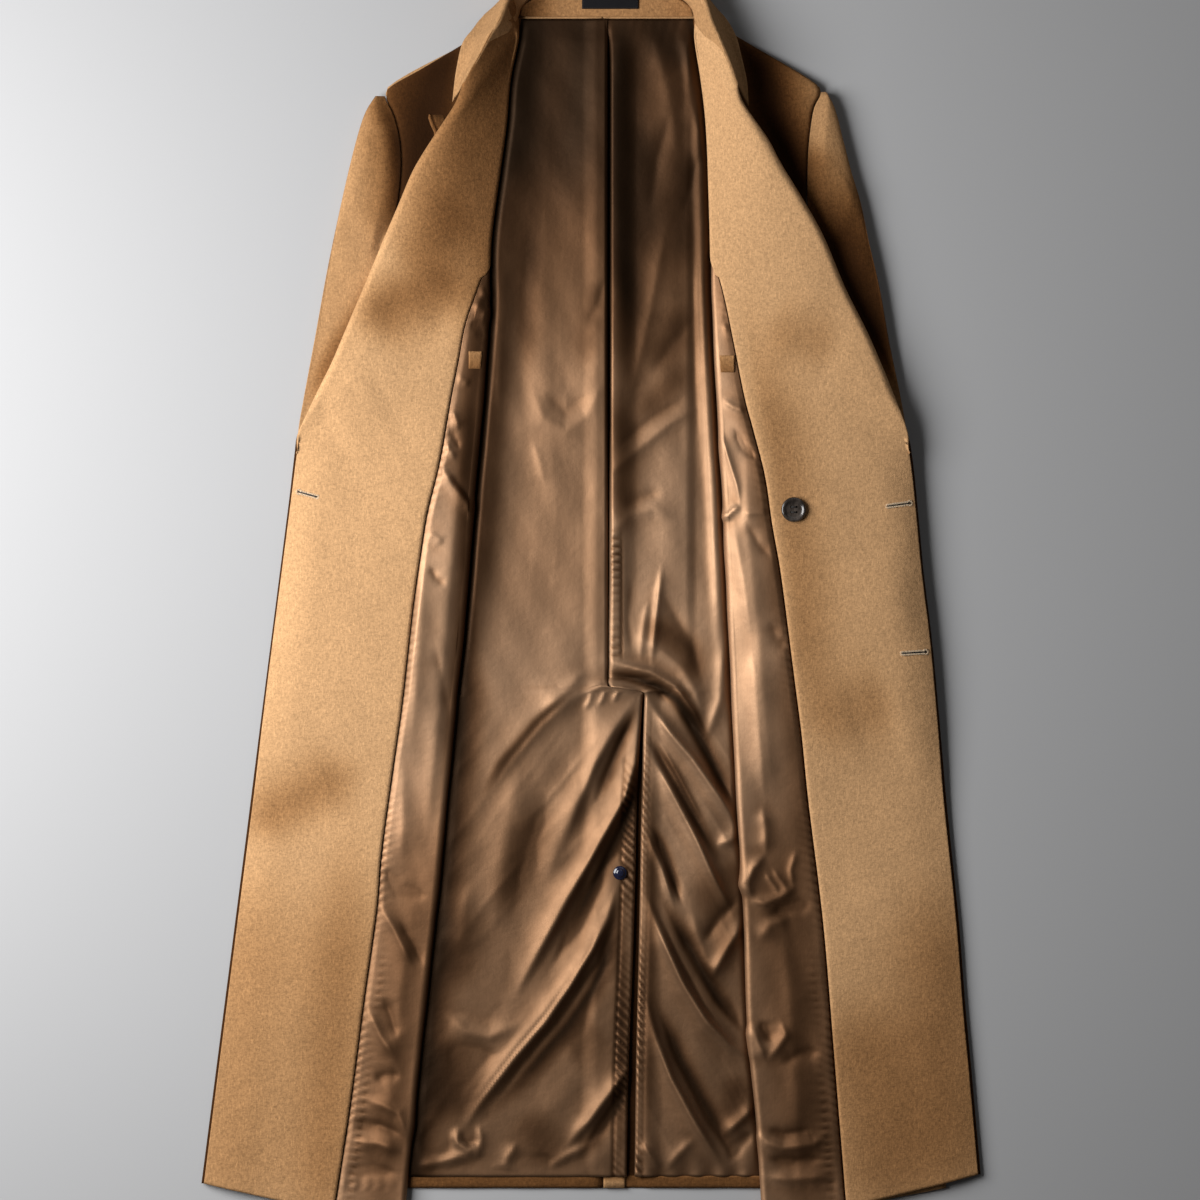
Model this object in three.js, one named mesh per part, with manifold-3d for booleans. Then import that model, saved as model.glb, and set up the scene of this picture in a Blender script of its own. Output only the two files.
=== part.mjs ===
import * as THREE from 'three';
import Module from 'manifold-3d';

const wasm = await Module();
wasm.setup();
const { Manifold, Mesh: SolidMesh } = wasm;

// A long wool overcoat lying open on its back. Places are given on a flat chart in mm:
// across (left to right), down (collar to hem) and height above the surface it lies on.
const CENTRE_ACROSS = 591.08;
const CENTRE_DOWN = 584.18;

const WOOL = 2;
const SATIN = 1;
const SEAM_GAP = 0.3;
const LAPEL_INNER = -WOOL / 2;
const FACING_LOW = WOOL / 2 + 0.45;
const FACING_HIGH = FACING_LOW + WOOL;
const SATIN_LOW = WOOL / 2 + 0.4;
const SATIN_HIGH = SATIN_LOW + SATIN;
const LAPEL_ROLL_RADIUS = 4;
const FLAT_END = 3;
const UNDER_FOLD_HEIGHT = 5.5;
const UNDER_SIDE_HEIGHT = 3.4;
const RIM_INSET = 4.5;
const BREAK_START = 380;
const BREAK_END = 438;
const HEM_DOWN = 1187.5;
const HEM_TURN_UP = 11.5;
const HEM_THICKNESS = 4.3;
const VENT_TOP = 692;
const PLEAT_ACROSS = 607.5;
const CENTRE_SEAM = 603;
const CUFF_DOWN = 715;
const LINING_TOP = 19.6;
const LINING_TUCK = 17;
const LINING_GAP = 0.4;

const INNER_BUTTON_DIAMETER = 25;
const OUTER_BUTTON_DIAMETER = 28;
const BUTTON_THICKNESS = 4.2;
const BUTTON_SIDES = 20;
const BUTTON_HOLE_DIAMETER = 2.4;
const BUTTON_HOLE_SPREAD = 2.6;
const STUD_DIAMETER = 14;
const STUD_PLACE = [620, 872.5];
const STUD_SEAT = 0.6;
const SLIT_WIDTH = 1.2;
const SLIT_EYE_DIAMETER = 3.4;

const CAMEL = 0xc89a68;
const CAMEL_DEEP = 0xb98a5a;
const SATIN_BROWN = 0x8a6a47;
const SATIN_LIGHT = 0x9a7a55;
const LABEL_BLACK = 0x17161a;
const HORN_DARK = 0x38332e;
const STUD_NAVY = 0x1b2036;

const table = (names, rows) => rows.map(
  (row) => Object.fromEntries(names.map((name, i) => [name, row[i]])));
const AT = ['down', 'across'];
const HEIGHT = ['down', 'height'];

const LEFT = {
  name: 'left',
  out: -1,
  edge: table(AT, [[95, 463.5], [124, 445], [136, 437], [177, 412], [240, 385], [310, 355.5],
    [365, 332], [415, 307.5], [438, 297.5], [460, 294.9], [700, 264], [1000, 225.3], [1190, 200.8]]),
  seam: table(AT, [[15, 524.5], [76, 510.5], [128, 505.6], [230, 491.8], [260, 488], [325, 465],
    [400, 450.5], [469, 438], [553, 421], [706, 402], [857, 381], [1003, 363.6], [1106, 350],
    [1230, 331]]),
  fold: table(AT, [[15, 524.5], [76, 510.5], [128, 505.6], [230, 491.8], [260, 490], [302, 490],
    [400, 483], [495, 474.5], [610, 465], [744, 451.6], [876, 440], [1010, 424.8], [1144, 411],
    [1230, 403]]),
  body: table(AT, [[14, 515], [45, 463], [70, 421], [90, 387.5], [101, 387], [115, 394],
    [138, 400], [165, 402], [208, 398], [250, 388], [280, 374], [310, 352], [335, 327],
    [440, 312], [600, 299], [800, 279], [1000, 260], [1190, 242]]),
  sleeveOut: table(AT, [[94, 378], [111, 367], [130, 360], [168, 350], [218, 338.7], [275, 327],
    [337, 315.7], [400, 304], [430, 299], [500, 293], [600, 289], [715, 287]]),
  sleeveIn: table(AT, [[94, 384], [101, 386.4], [115, 393.4], [138, 399.4], [165, 401.4],
    [208, 397], [250, 385], [275, 398], [300, 424], [340, 445], [400, 452], [470, 450],
    [550, 444], [640, 434], [715, 427]]),
  lapelOut: table(AT, [[117, 428], [120, 428.4], [128, 431], [136, 434.5], [142, 433.2],
    [160, 421.5], [177, 412], [240, 385], [310, 355.5], [365, 332], [402, 313.8]]),
  lapelIn: table(AT, [[117, 444], [128, 450], [136, 458], [160, 460], [200, 451], [250, 438],
    [300, 410], [350, 378], [385, 350], [402, 334]]),
  lapelTop: 117,
  hemEdge: 1183,
};

const RIGHT = {
  name: 'right',
  out: 1,
  edge: table(AT, [[95, 735.5], [104, 739.5], [115, 748], [144, 768.4], [200, 801], [237, 822],
    [291, 845], [337, 868], [400, 894.7], [430, 906], [461, 912], [515, 917.6], [637, 931],
    [800, 946], [934, 959.7], [1068, 971], [1180, 981]]),
  seam: table(AT, [[15, 690], [76, 700.8], [127, 706.6], [200, 709.5], [260, 714.8], [344, 734],
    [430, 753], [526, 772], [687, 795], [800, 808], [953, 825.8], [1068, 835], [1230, 848]]),
  fold: table(AT, [[15, 690], [76, 700.8], [127, 706.6], [200, 709.5], [260, 711], [300, 711.5],
    [400, 717], [526, 724.4], [649, 730], [800, 737], [903, 743.5], [1030, 748], [1125, 757],
    [1230, 763]]),
  body: table(AT, [[14, 698], [45, 750], [70, 793], [88, 819.5], [97, 818], [108, 812.4],
    [134, 809], [160, 806.9], [204, 806], [250, 813], [280, 827], [310, 849], [335, 874],
    [440, 889], [600, 905], [800, 922], [1000, 935], [1190, 946]]),
  sleeveOut: table(AT, [[90, 824], [107, 833.5], [142, 843], [172, 850.7], [203, 860], [241, 868],
    [291, 879.5], [344, 889], [400, 900.5], [430, 905.5], [500, 911], [600, 914], [715, 916]]),
  sleeveIn: table(AT, [[90, 821.2], [97, 819.8], [108, 814], [134, 809.6], [160, 807.5],
    [204, 807], [250, 816], [275, 803], [300, 777], [340, 756], [400, 750], [470, 752],
    [550, 758], [640, 768], [715, 775]]),
  lapelOut: table(AT, [[128, 757], [144, 768.4], [200, 801], [237, 822], [291, 845], [337, 868],
    [384, 888]]),
  lapelIn: table(AT, [[128, 744], [144, 745], [200, 757], [250, 776], [300, 793], [350, 829],
    [384, 867]]),
  lapelTop: 128,
  hemEdge: 1174,
};

// Heights of the upper face of the turned-out fronts at the roll or edge, midway and at the fold.
const EDGE_HEIGHT = table(HEIGHT, [[20, 44], [102, 42], [124, 40], [200, 35.5], [300, 30.5],
  [350, 29], [400, 27.5], [438, 21.5], [480, 17], [600, 15], [700, 13.5], [760, 11], [820, 8.2],
  [900, 7.2], [1230, 6.8]]);
const MID_HEIGHT = table(HEIGHT, [[20, 22], [330, 22], [438, 23], [600, 23.4], [680, 22.5],
  [730, 19.5], [790, 13], [850, 11.2], [1230, 10.2]]);
const FOLD_HEIGHT = table(HEIGHT, [[20, 19], [60, 15], [124, 13.6], [200, 14], [300, 15],
  [438, 17], [600, 16.6], [800, 14.6], [1230, 13]]);
const CHEST_SWELL = table(HEIGHT, [[14, 1.5], [60, 5], [100, 9.5], [130, 10.6], [190, 10.2],
  [222, 4], [238, 0.5], [250, 0], [300, 0], [1230, 0]]);
const NECK_RISE = table(HEIGHT, [[-60, 9], [-18, 8], [24, 5], [50, 1.8], [75, 0], [120, 0],
  [1230, 0]]);
const SLEEVE_TOP = table(HEIGHT, [[88, 14], [110, 17], [150, 18.5], [200, 17.5], [260, 14.6],
  [310, 12.4], [360, 11.7], [500, 11.6], [715, 11.6]]);
const SLEEVE_LOW = table(HEIGHT, [[88, 6], [120, 3], [200, 2], [232, 4.6], [256, 6.5], [300, 6.4],
  [715, 6.4]]);

// The rows at which the fronts and everything on them are cut, given at the inner fold.
const FRONT_ROWS = [20, 32, 48, 70, 98, 130, 165, 205, 240, 275, 310, 350, 384, 410, 436, 475, 530, 600,
  670, 715, 755, 795, 860, 1000, 1120, 1222];
const UNDER_COLUMNS = [0, 0.3, 0.6, 0.85, 1];
const FOLD_COLUMNS = [1.25, 1.5, 1.75, 2];
const TOP_COLUMNS = [2.15, 2.35, 2.6, 2.8, 2.9];
const ROLL_COLUMNS = [3, 3.5, 4];
const GORGE_DOWN = 102;
const SHEAR_END = 260;
const HEM_SHEAR_START = 1000;

const BACK_OUTLINE = ['down', 'left', 'right'];
const BACK_ROWS = table(BACK_OUTLINE, [[-17.6, 596, 616], [-14, 566, 645], [-4, 541, 671],
  [8, 524, 687], [LINING_TOP, 505, 708], [34, 481, 732],
  [52, 451, 762], [90, 385, 822], [115, 394, 812], [165, 401.5, 807],
  [208, 398, 806], [250, 388, 813], [310, 352, 849], [335, 327, 874], [440, 312, 889],
  [600, 299, 905], [800, 279, 922], [1000, 260, 935], [1175.4, 243.6, 945.2],
  [1176.2, 243.5, 945.2], [1187.5, 242.4, 946]]);

const VENT_EDGE = table(AT, [[684, 643.5], [692, 643], [800, 637], [871, 635.5], [960, 633],
  [1060, 629], [1190, 626.5]]);
const VENT_FAR_EDGE = table(AT, [[684, 645], [692, 644.6], [800, 641.4], [871, 640.4],
  [960, 639], [1060, 639], [1190, 639.2]]);

// Rows of the back lining, and how far between its two edges each column stands.
const LINING_ROWS = [LINING_TOP, 34, 52, 90, 150, 220, 290, 360, 430, 500, 570, 620, 660, 684,
  693, 720, 750, 780, 810, 840, 870, 900, 930, 960, 990, 1020, 1050, 1080, 1110, 1142,
  HEM_DOWN - HEM_TURN_UP - 0.9];
const LINING_COLUMNS = [0, 0.1, 0.2, 0.31, 0.42, 0.53, 0.64, 0.75, 0.85, 0.93, 1];

// The largest folds of the back lining: a ridge from one place to another.
const RIDGE = ['fromAcross', 'fromDown', 'toAcross', 'toDown', 'width', 'height'];
const BACK_FOLDS = table(RIDGE, [
  [640, 40, 668, 230, 16, 3.5],
  [560, 40, 545, 330, 22, 3],
  [520, 120, 512, 380, 14, 3],
  [697, 400, 722, 740, 11, 5],
  [585, 330, 592, 560, 16, 2.5],
  [690, 240, 640, 420, 18, 3],
  [520, 560, 498, 760, 20, 3.5],
  [604, 700, 520, 800, 17, 5],
  [626, 800, 560, 927, 17, 7.5],
  [600, 850, 528, 980, 15, 5],
  [604, 945, 497, 1087, 17, 8],
  [590, 1050, 459, 1129, 18, 6],
  [650, 705, 728, 830, 16, 7],
  [650, 850, 730, 1025, 16, 7],
  [652, 1020, 722, 1160, 16, 6.5],
  [655, 960, 700, 1030, 12, 3.5],
  [470, 860, 452, 1050, 14, 4],
]);
const FRONT_LINING_FOLDS = {
  left: table(RIDGE, [
    [470, 440, 445, 560, 9, 3],
    [455, 600, 425, 700, 10, 2.5],
    [430, 720, 430, 850, 11, 2.5],
    [400, 880, 425, 960, 10, 3],
    [375, 1000, 405, 1070, 10, 3],
    [360, 1120, 400, 1150, 9, 2.5],
  ]),
  right: table(RIDGE, [
    [725, 440, 755, 520, 8, 3],
    [740, 560, 765, 660, 10, 2.5],
    [760, 700, 770, 850, 11, 2.5],
    [750, 930, 810, 895, 10, 4],
    [755, 1010, 815, 1050, 11, 4],
    [765, 1130, 830, 1150, 10, 3.5],
  ]),
};

// Collar stations: the neck seam, the top of the fold and the edge of the leaf.
const STATION = ['seamAcross', 'seamDown', 'seamHeight', 'foldAcross', 'foldDown', 'foldHeight',
  'leafAcross', 'leafDown', 'leafHeight'];
const COLLAR = table(STATION, [
  [468.4, 82.6, 39.0, 465, 86, 42.5, 453, 104, 23],
  [479, 70.0, 37.0, 472, 74, 44, 454.5, 88, 22],
  [488.6, 57.8, 34.2, 480, 61, 44.5, 457, 70, 21.5],
  [506.6, 38.4, 26.5, 491, 40, 44.5, 462.5, 46, 20],
  [516.5, 25.0, 19.5, 501, 24, 43, 472, 32, 15],
  [522, 9.0, 13.5, 513, -6, 36, 487, 15, 4.5],
  [539.5, -5.4, 11.8, 534, -32, 27, 514, 12, 2],
  [569.5, -17.0, 10.9, 566, -47, 21, 560, 10, 1.6],
  [606, -20.2, 10.6, 606, -50.2, 20, 606, 7, 1.6],
  [642.5, -17.0, 10.9, 646, -47, 21, 651, 10, 1.6],
  [672.5, -5.4, 11.8, 678, -32, 27, 697, 12, 2],
  [690.6, 9.0, 13.5, 699, -6, 36, 722, 17, 4.5],
  [695.2, 25.0, 19.5, 709, 24, 43, 735, 36, 15],
  [703.6, 38.6, 26.5, 717, 42, 44.5, 741, 58, 20],
  [717.6, 60.5, 34.2, 726, 63, 44.5, 746, 80, 21.5],
  [724, 72, 37.0, 731, 76, 44, 747.4, 94, 22],
  [731, 83.4, 39.0, 735, 87, 42.5, 748, 108, 23],
]);

const SLITS = table(['side', 'outerAcross', 'innerAcross', 'outerDown', 'innerDown'], [
  ['left', 297.8, 319.6, 492, 500],
  ['right', 907, 884, 507, 501],
  ['right', 924, 899, 655, 650],
]);

const lerp = (a, b, t) => a + (b - a) * t;
const clamp = (value, low, high) => Math.min(high, Math.max(low, value));
const smooth = (from, to, value) => {
  const t = clamp((value - from) / (to - from), 0, 1);
  return t * t * (3 - 2 * t);
};

// The value of a table's column at one place down the coat, on a smooth line through its rows.
const along = (rows, down, column = 'across') => {
  const last = rows.length - 1;
  if (down <= rows[0].down) return rows[0][column];
  if (down >= rows[last].down) return rows[last][column];
  const i = rows.findIndex((row) => row.down > down) - 1;
  const slope = (k) => {
    const a = rows[Math.max(0, k - 1)];
    const b = rows[Math.min(last, k + 1)];
    return (b[column] - a[column]) / (b.down - a.down);
  };
  const a = rows[i];
  const b = rows[i + 1];
  const step = b.down - a.down;
  const chord = (b[column] - a[column]) / step;
  const limit = (m) => (m * chord <= 0 ? 0 : Math.sign(chord) * Math.min(Math.abs(m), 3 * Math.abs(chord)));
  const t = (down - a.down) / step;
  return a[column] * (1 + 2 * t) * (1 - t) ** 2 + b[column] * t * t * (3 - 2 * t)
    + step * (limit(slope(i)) * t * (1 - t) ** 2 + limit(slope(i + 1)) * t * t * (t - 1));
};
const heightAt = (rows, down) => along(rows, down, 'height');

const place = (across, down, height) => new THREE.Vector3(
  across - CENTRE_ACROSS, CENTRE_DOWN - down, height);

// A closed solid between two grids of points with the same rows and columns.
const between = (upper, lower) => {
  const rows = upper.length;
  const columns = upper[0].length;
  const points = [...upper.flat(), ...lower.flat()];
  const top = (r, c) => r * columns + c;
  const low = (r, c) => rows * columns + r * columns + c;
  const faces = [];
  const quad = (a, b, c, d) => faces.push(a, b, c, a, c, d);
  for (let r = 0; r < rows - 1; r += 1) {
    for (let c = 0; c < columns - 1; c += 1) {
      quad(top(r, c), top(r + 1, c), top(r + 1, c + 1), top(r, c + 1));
      quad(low(r, c), low(r, c + 1), low(r + 1, c + 1), low(r + 1, c));
    }
    quad(top(r, 0), low(r, 0), low(r + 1, 0), top(r + 1, 0));
    quad(top(r + 1, columns - 1), low(r + 1, columns - 1), low(r, columns - 1), top(r, columns - 1));
  }
  for (let c = 0; c < columns - 1; c += 1) {
    quad(top(0, c + 1), low(0, c + 1), low(0, c), top(0, c));
    quad(top(rows - 1, c), low(rows - 1, c), low(rows - 1, c + 1), top(rows - 1, c + 1));
  }
  return facingOut(points, faces);
};

const facingOut = (points, faces) => {
  let volume = 0;
  for (let i = 0; i < faces.length; i += 3) {
    const [a, b, c] = [points[faces[i]], points[faces[i + 1]], points[faces[i + 2]]];
    volume += a.dot(new THREE.Vector3().crossVectors(b, c));
  }
  const ordered = volume > 0 ? faces : [...faces].reverse();
  const geometry = new THREE.BufferGeometry();
  geometry.setAttribute('position', new THREE.Float32BufferAttribute(
    points.flatMap((p) => [p.x, p.y, p.z]), 3));
  geometry.setIndex(ordered);
  geometry.computeVertexNormals();
  return geometry;
};

// A solid wall along a surface: from one distance to another along the surface's own direction.
const wall = (grid, low, high) => {
  const shift = (amount) => grid.map((row, r) => row.map((entry, c) => {
    const distance = typeof amount === 'function' ? amount(entry, r, c) : amount;
    return entry.point.clone().addScaledVector(entry.normal, distance);
  }));
  return between(shift(high), shift(low));
};

// A piece that lies flat: its upper and lower heights over a net of places.
const laid = (net, lowAt, highAt) => between(
  net.map((row) => row.map(([across, down]) => place(across, down, highAt(across, down)))),
  net.map((row) => row.map(([across, down]) => place(across, down, lowAt(across, down)))));

const group = new THREE.Group();
group.name = 'overcoat';
const add = (name, colour, geometry, finish = 0.9) => {
  const material = new THREE.MeshStandardMaterial({ color: colour, roughness: finish });
  const mesh = new THREE.Mesh(geometry, material);
  mesh.name = name;
  group.add(mesh);
  return mesh;
};

const toSolid = (geometry) => Manifold.ofMesh(new SolidMesh({
  numProp: 3,
  vertProperties: new Float32Array(geometry.attributes.position.array),
  triVerts: new Uint32Array(geometry.index.array),
}));
const toGeometry = (solid) => {
  const mesh = solid.getMesh();
  const geometry = new THREE.BufferGeometry();
  geometry.setAttribute('position', new THREE.BufferAttribute(mesh.vertProperties, 3));
  geometry.setIndex(new THREE.BufferAttribute(mesh.triVerts, 1));
  geometry.computeVertexNormals();
  return geometry;
};

// The turned-out front of one side, as one line per row. Along it: 0 side, 1 to 2 round the
// inner fold, 3 the start of the roll, 4 the end of the front, 5 the back of the lapel, 6 its edge.
const edgeDown = (side, down) => {
  if (down < SHEAR_END) return lerp(GORGE_DOWN, SHEAR_END, (down - 20) / (SHEAR_END - 20));
  if (down > HEM_SHEAR_START) {
    return lerp(HEM_SHEAR_START, side.hemEdge, (down - HEM_SHEAR_START) / (1222 - HEM_SHEAR_START));
  }
  return down;
};
const sideDown = (down) => (down > HEM_SHEAR_START
  ? lerp(HEM_SHEAR_START, HEM_DOWN, (down - HEM_SHEAR_START) / (1222 - HEM_SHEAR_START))
  : down);

const rowAt = (side, down) => {
  const atEdge = edgeDown(side, down);
  const atSide = sideDown(down);
  const rise = heightAt(NECK_RISE, down);
  const under = UNDER_FOLD_HEIGHT + rise;
  const foldTop = heightAt(FOLD_HEIGHT, down);
  const radius = (foldTop - FACING_HIGH - under) / 2;
  const curl = (Math.PI / 2) * (1 - smooth(BREAK_START, BREAK_END, atEdge));
  const apex = along(side.fold, down) + side.out * SATIN_HIGH;
  const turn = apex + side.out * radius;
  const end = along(side.edge, atEdge) - side.out * FACING_HIGH * Math.sin(curl);
  const arc = Math.max(LAPEL_ROLL_RADIUS * curl, FLAT_END);
  const rollRadius = curl > 0.01 ? arc / curl : 0;
  const rollStart = end - side.out * (rollRadius ? rollRadius * Math.sin(curl) : arc);
  return { side, down, atEdge, atSide, rise, under, foldTop, radius, curl, turn, arc, rollRadius,
    rollStart, bodyEdge: along(side.body, atSide), edgeTop: heightAt(EDGE_HEIGHT, atEdge),
    midTop: heightAt(MID_HEIGHT, down) };
};

const topHeight = (row, u) => {
  const rolled = row.curl / (Math.PI / 2);
  const roll = lerp(row.foldTop, row.edgeTop, 1 - (1 - u) ** 2);
  const nearFold = Math.max(0, 1 - u / 0.25) ** 2;
  const nearEdge = Math.max(0, (u - 0.8) / 0.2) ** 2;
  const flat = row.midTop + (row.foldTop - row.midTop) * nearFold
    + (row.edgeTop - row.midTop) * nearEdge;
  return lerp(flat, roll, rolled);
};

const chestHeight = (row, t) => {
  const base = UNDER_SIDE_HEIGHT + row.rise;
  const swell = heightAt(CHEST_SWELL, row.down) * (1 - smooth(0.3, 0.9, t));
  return base + (row.under - base) * smooth(0.6, 1, t) + swell;
};

const hemSag = (row, t) => row.down + (row.atEdge - row.down) * (row.down > HEM_SHEAR_START ? t ** 1.15 : t);

const frontLine = (row, q) => {
  const { side } = row;
  if (q <= 1) {
    const across = lerp(row.bodyEdge, row.turn, q);
    return place(across, lerp(row.atSide, row.down, q), chestHeight(row, q));
  }
  if (q <= 2) {
    const angle = (q - 1.5) * Math.PI;
    return place(row.turn - side.out * row.radius * Math.cos(angle), row.down,
      row.under + row.radius * (1 + Math.sin(angle)));
  }
  if (q <= 3) {
    const u = q - 2;
    return place(lerp(row.turn, row.rollStart, u), hemSag(row, u), topHeight(row, u) - FACING_HIGH);
  }
  const angle = (q - 3) * row.curl;
  const reach = row.rollRadius ? row.rollRadius * Math.sin(angle) : row.arc * (q - 3);
  return place(row.rollStart + side.out * reach, row.atEdge,
    row.edgeTop - FACING_HIGH - row.rollRadius * (1 - Math.cos(angle)));
};

const STEP = 0.02;
const frontEntry = (side, down, q) => {
  const point = frontLine(rowAt(side, down), q);
  const [q0, q1] = [Math.max(0, q - STEP), Math.min(4, q + STEP)];
  const row = rowAt(side, down);
  const alongLine = frontLine(row, q1).sub(frontLine(row, q0));
  const [d0, d1] = [Math.max(20, down - 2), Math.min(1222, down + 2)];
  const downCoat = frontLine(rowAt(side, d1), q).sub(frontLine(rowAt(side, d0), q));
  const normal = new THREE.Vector3().crossVectors(downCoat, alongLine).normalize();
  normal.multiplyScalar(side.out);
  return { point, normal, q };
};

// A place on the front as it is built, between two of its rows.
const onFront = (side, down, lineAt) => {
  const next = clamp(FRONT_ROWS.findIndex((row) => row >= down), 1, FRONT_ROWS.length - 1);
  const [above, below] = [FRONT_ROWS[next - 1], FRONT_ROWS[next]];
  const t = (down - above) / (below - above);
  const q = lerp(lineAt(above), lineAt(below), t);
  const [a, b] = [frontEntry(side, above, q), frontEntry(side, below, q)];
  return { point: a.point.lerp(b.point, t), normal: a.normal.lerp(b.normal, t).normalize(), q };
};

// How far along the line a place across lies on the turned-out part.
const lineAtAcross = (side, down, across) => {
  const row = rowAt(side, down);
  return 2 + clamp((across - row.turn) / (row.rollStart - row.turn), 0, 1);
};
const seamLine = (side, down) => {
  const row = rowAt(side, down);
  let u = 0;
  for (let i = 0; i < 4; i += 1) {
    u = clamp((along(side.seam, hemSag(row, u)) - row.turn) / (row.rollStart - row.turn), 0, 1);
  }
  const wide = Math.abs(along(side.seam, down) - along(side.fold, down));
  return wide < 6 ? 1.75 : 2 + u;
};
const insetFromEnd = (row, inset) => (inset <= row.arc ? 4 - inset / row.arc
  : 3 - (inset - row.arc) / Math.abs(row.rollStart - row.turn));

const spread = (from, to, count) => Array.from({ length: count }, (_, i) => lerp(from, to, i / (count - 1)));

const slitCutter = (side) => SLITS.filter((slit) => slit.side === side.name).map((slit) => {
  const dx = slit.innerAcross - slit.outerAcross;
  const dy = slit.outerDown - slit.innerDown;
  const length = Math.hypot(dx, dy);
  const turn = THREE.MathUtils.radToDeg(Math.atan2(dy, dx));
  const eye = Manifold.cylinder(40, SLIT_EYE_DIAMETER / 2, SLIT_EYE_DIAMETER / 2, 12, true)
    .translate([SLIT_EYE_DIAMETER, 0, 0]);
  return Manifold.cube([length - SLIT_EYE_DIAMETER, SLIT_WIDTH, 40], true)
    .translate([length / 2 + SLIT_EYE_DIAMETER / 2, 0, 0])
    .add(eye)
    .rotate([0, 0, turn])
    .translate([slit.outerAcross - CENTRE_ACROSS, CENTRE_DOWN - slit.outerDown, 20]);
});
const cutSlits = (geometry, side) => toGeometry(
  slitCutter(side).reduce((solid, cutter) => solid.subtract(cutter), toSolid(geometry)));

const ridge = (folds, across, down) => folds.reduce((sum, fold) => {
  const dx = fold.toAcross - fold.fromAcross;
  const dy = fold.toDown - fold.fromDown;
  const length = Math.hypot(dx, dy);
  const t = ((across - fold.fromAcross) * dx + (down - fold.fromDown) * dy) / (length * length);
  const off = ((across - fold.fromAcross) * dy - (down - fold.fromDown) * dx) / length;
  const ends = smooth(-0.12, 0.15, t) * (1 - smooth(0.8, 1.15, t));
  return sum + fold.height * ends * Math.exp(-((off / fold.width) ** 2));
}, 0);

const SLIVER = 0.004;
const makeFront = (side) => {
  const columns = [...UNDER_COLUMNS, ...FOLD_COLUMNS, ...TOP_COLUMNS, ...ROLL_COLUMNS];
  const grid = FRONT_ROWS.map((down) => columns.map((q) => frontEntry(side, down, q)));
  add(`front_${side.name}`, CAMEL_DEEP, cutSlits(wall(grid, -WOOL / 2, WOOL / 2), side));

  const facingGrid = FRONT_ROWS.map((down) => {
    const row = rowAt(side, down);
    const start = seamLine(side, down);
    const end = insetFromEnd(row, RIM_INSET * smooth(BREAK_END - 8, BREAK_END + 30, row.atEdge));
    const last = TOP_COLUMNS[TOP_COLUMNS.length - 1];
    const whole = ROLL_COLUMNS[ROLL_COLUMNS.length - 1] - last;
    const inner = [2, ...TOP_COLUMNS].map((q, i) => Math.max(q, start + SLIVER * (i + 1)));
    const outer = ROLL_COLUMNS.map((q) => last + (end - last) * ((q - last) / whole));
    return [start, ...inner, ...outer].map((q) => frontEntry(side, down, q));
  });
  add(`facing_${side.name}`, CAMEL, cutSlits(wall(facingGrid, FACING_LOW, FACING_HIGH), side));
};

const FRONT_LINING_ROWS = [276, 296, 320, 350, 385, 420, 450, 480, 510, 545, 580, 620, 660, 700,
  740, 780, 820, 860, 890, 920, 955, 990, 1025, 1060, 1095, 1130, 1170, 1222];
const makeFrontLining = (side) => {
  const seamAt = (down) => Math.max(2.003, seamLine(side, down) - SLIVER);
  const grid = FRONT_LINING_ROWS.map((down) => [
    ...[1.25, 1.5, 1.75].map((q) => onFront(side, down, () => q)),
    ...spread(0, 1, 5).map((t) => ({
      ...onFront(side, down, (at) => lerp(2, seamAt(at), t)), middle: Math.sin(Math.PI * t) ** 0.7 })),
  ]);
  const swell = (entry) => (entry.middle || 0) * ridge(FRONT_LINING_FOLDS[side.name],
    entry.point.x + CENTRE_ACROSS, CENTRE_DOWN - entry.point.y);
  add(`lining_front_${side.name}`, SATIN_LIGHT,
    wall(grid, (e) => SATIN_LOW + swell(e), (e) => SATIN_HIGH + swell(e)), 0.4);
};

const leafFloor = (down) => Math.max(heightAt(SLEEVE_TOP, down),
  UNDER_SIDE_HEIGHT + 1 + heightAt(CHEST_SWELL, down));
const makeLapel = (side) => {
  const last = side.lapelOut[side.lapelOut.length - 1].down;
  const downs = [side.lapelTop, ...[124, 132, 140, 155, 175, 200, 230, 260, 290, 320, 350, 375]
    .filter((down) => down > side.lapelTop + 3), last];
  const upper = [];
  const lower = [];
  downs.forEach((down) => {
    const curl = (Math.PI / 2) * (1 - smooth(BREAK_START, BREAK_END, down));
    const outer = along(side.lapelOut, down);
    const inner = along(side.lapelIn, down);
    const centreHeight = heightAt(EDGE_HEIGHT, down) - FACING_HIGH - LAPEL_ROLL_RADIUS;
    const centreAcross = outer - side.out * (FACING_HIGH + LAPEL_ROLL_RADIUS);
    const leafStart = centreHeight - LAPEL_ROLL_RADIUS;
    const leafEnd = Math.max(leafStart - 5, leafFloor(down) + FACING_HIGH + 0.6);
    const start = Math.max(curl, Math.PI / 2 * 0.9) + 0.09;
    const row = spread(start, Math.PI, 4).map((angle) => ({
      at: [centreAcross + side.out * LAPEL_ROLL_RADIUS * Math.sin(angle),
        centreHeight + LAPEL_ROLL_RADIUS * Math.cos(angle)],
      normal: [side.out * Math.sin(angle), Math.cos(angle)],
    }));
    [0.33, 0.66, 1].forEach((t) => row.push({
      at: [lerp(centreAcross, inner, t), lerp(leafStart, leafEnd, t)],
      normal: [0, -1],
    }));
    const offset = (distance) => row.map(({ at, normal }) => place(
      at[0] + normal[0] * distance, down, at[1] + normal[1] * distance));
    upper.push(offset(FACING_HIGH));
    lower.push(offset(LAPEL_INNER));
  });
  add(`lapel_${side.name}`, CAMEL_DEEP, between(upper, lower));
};

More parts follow.
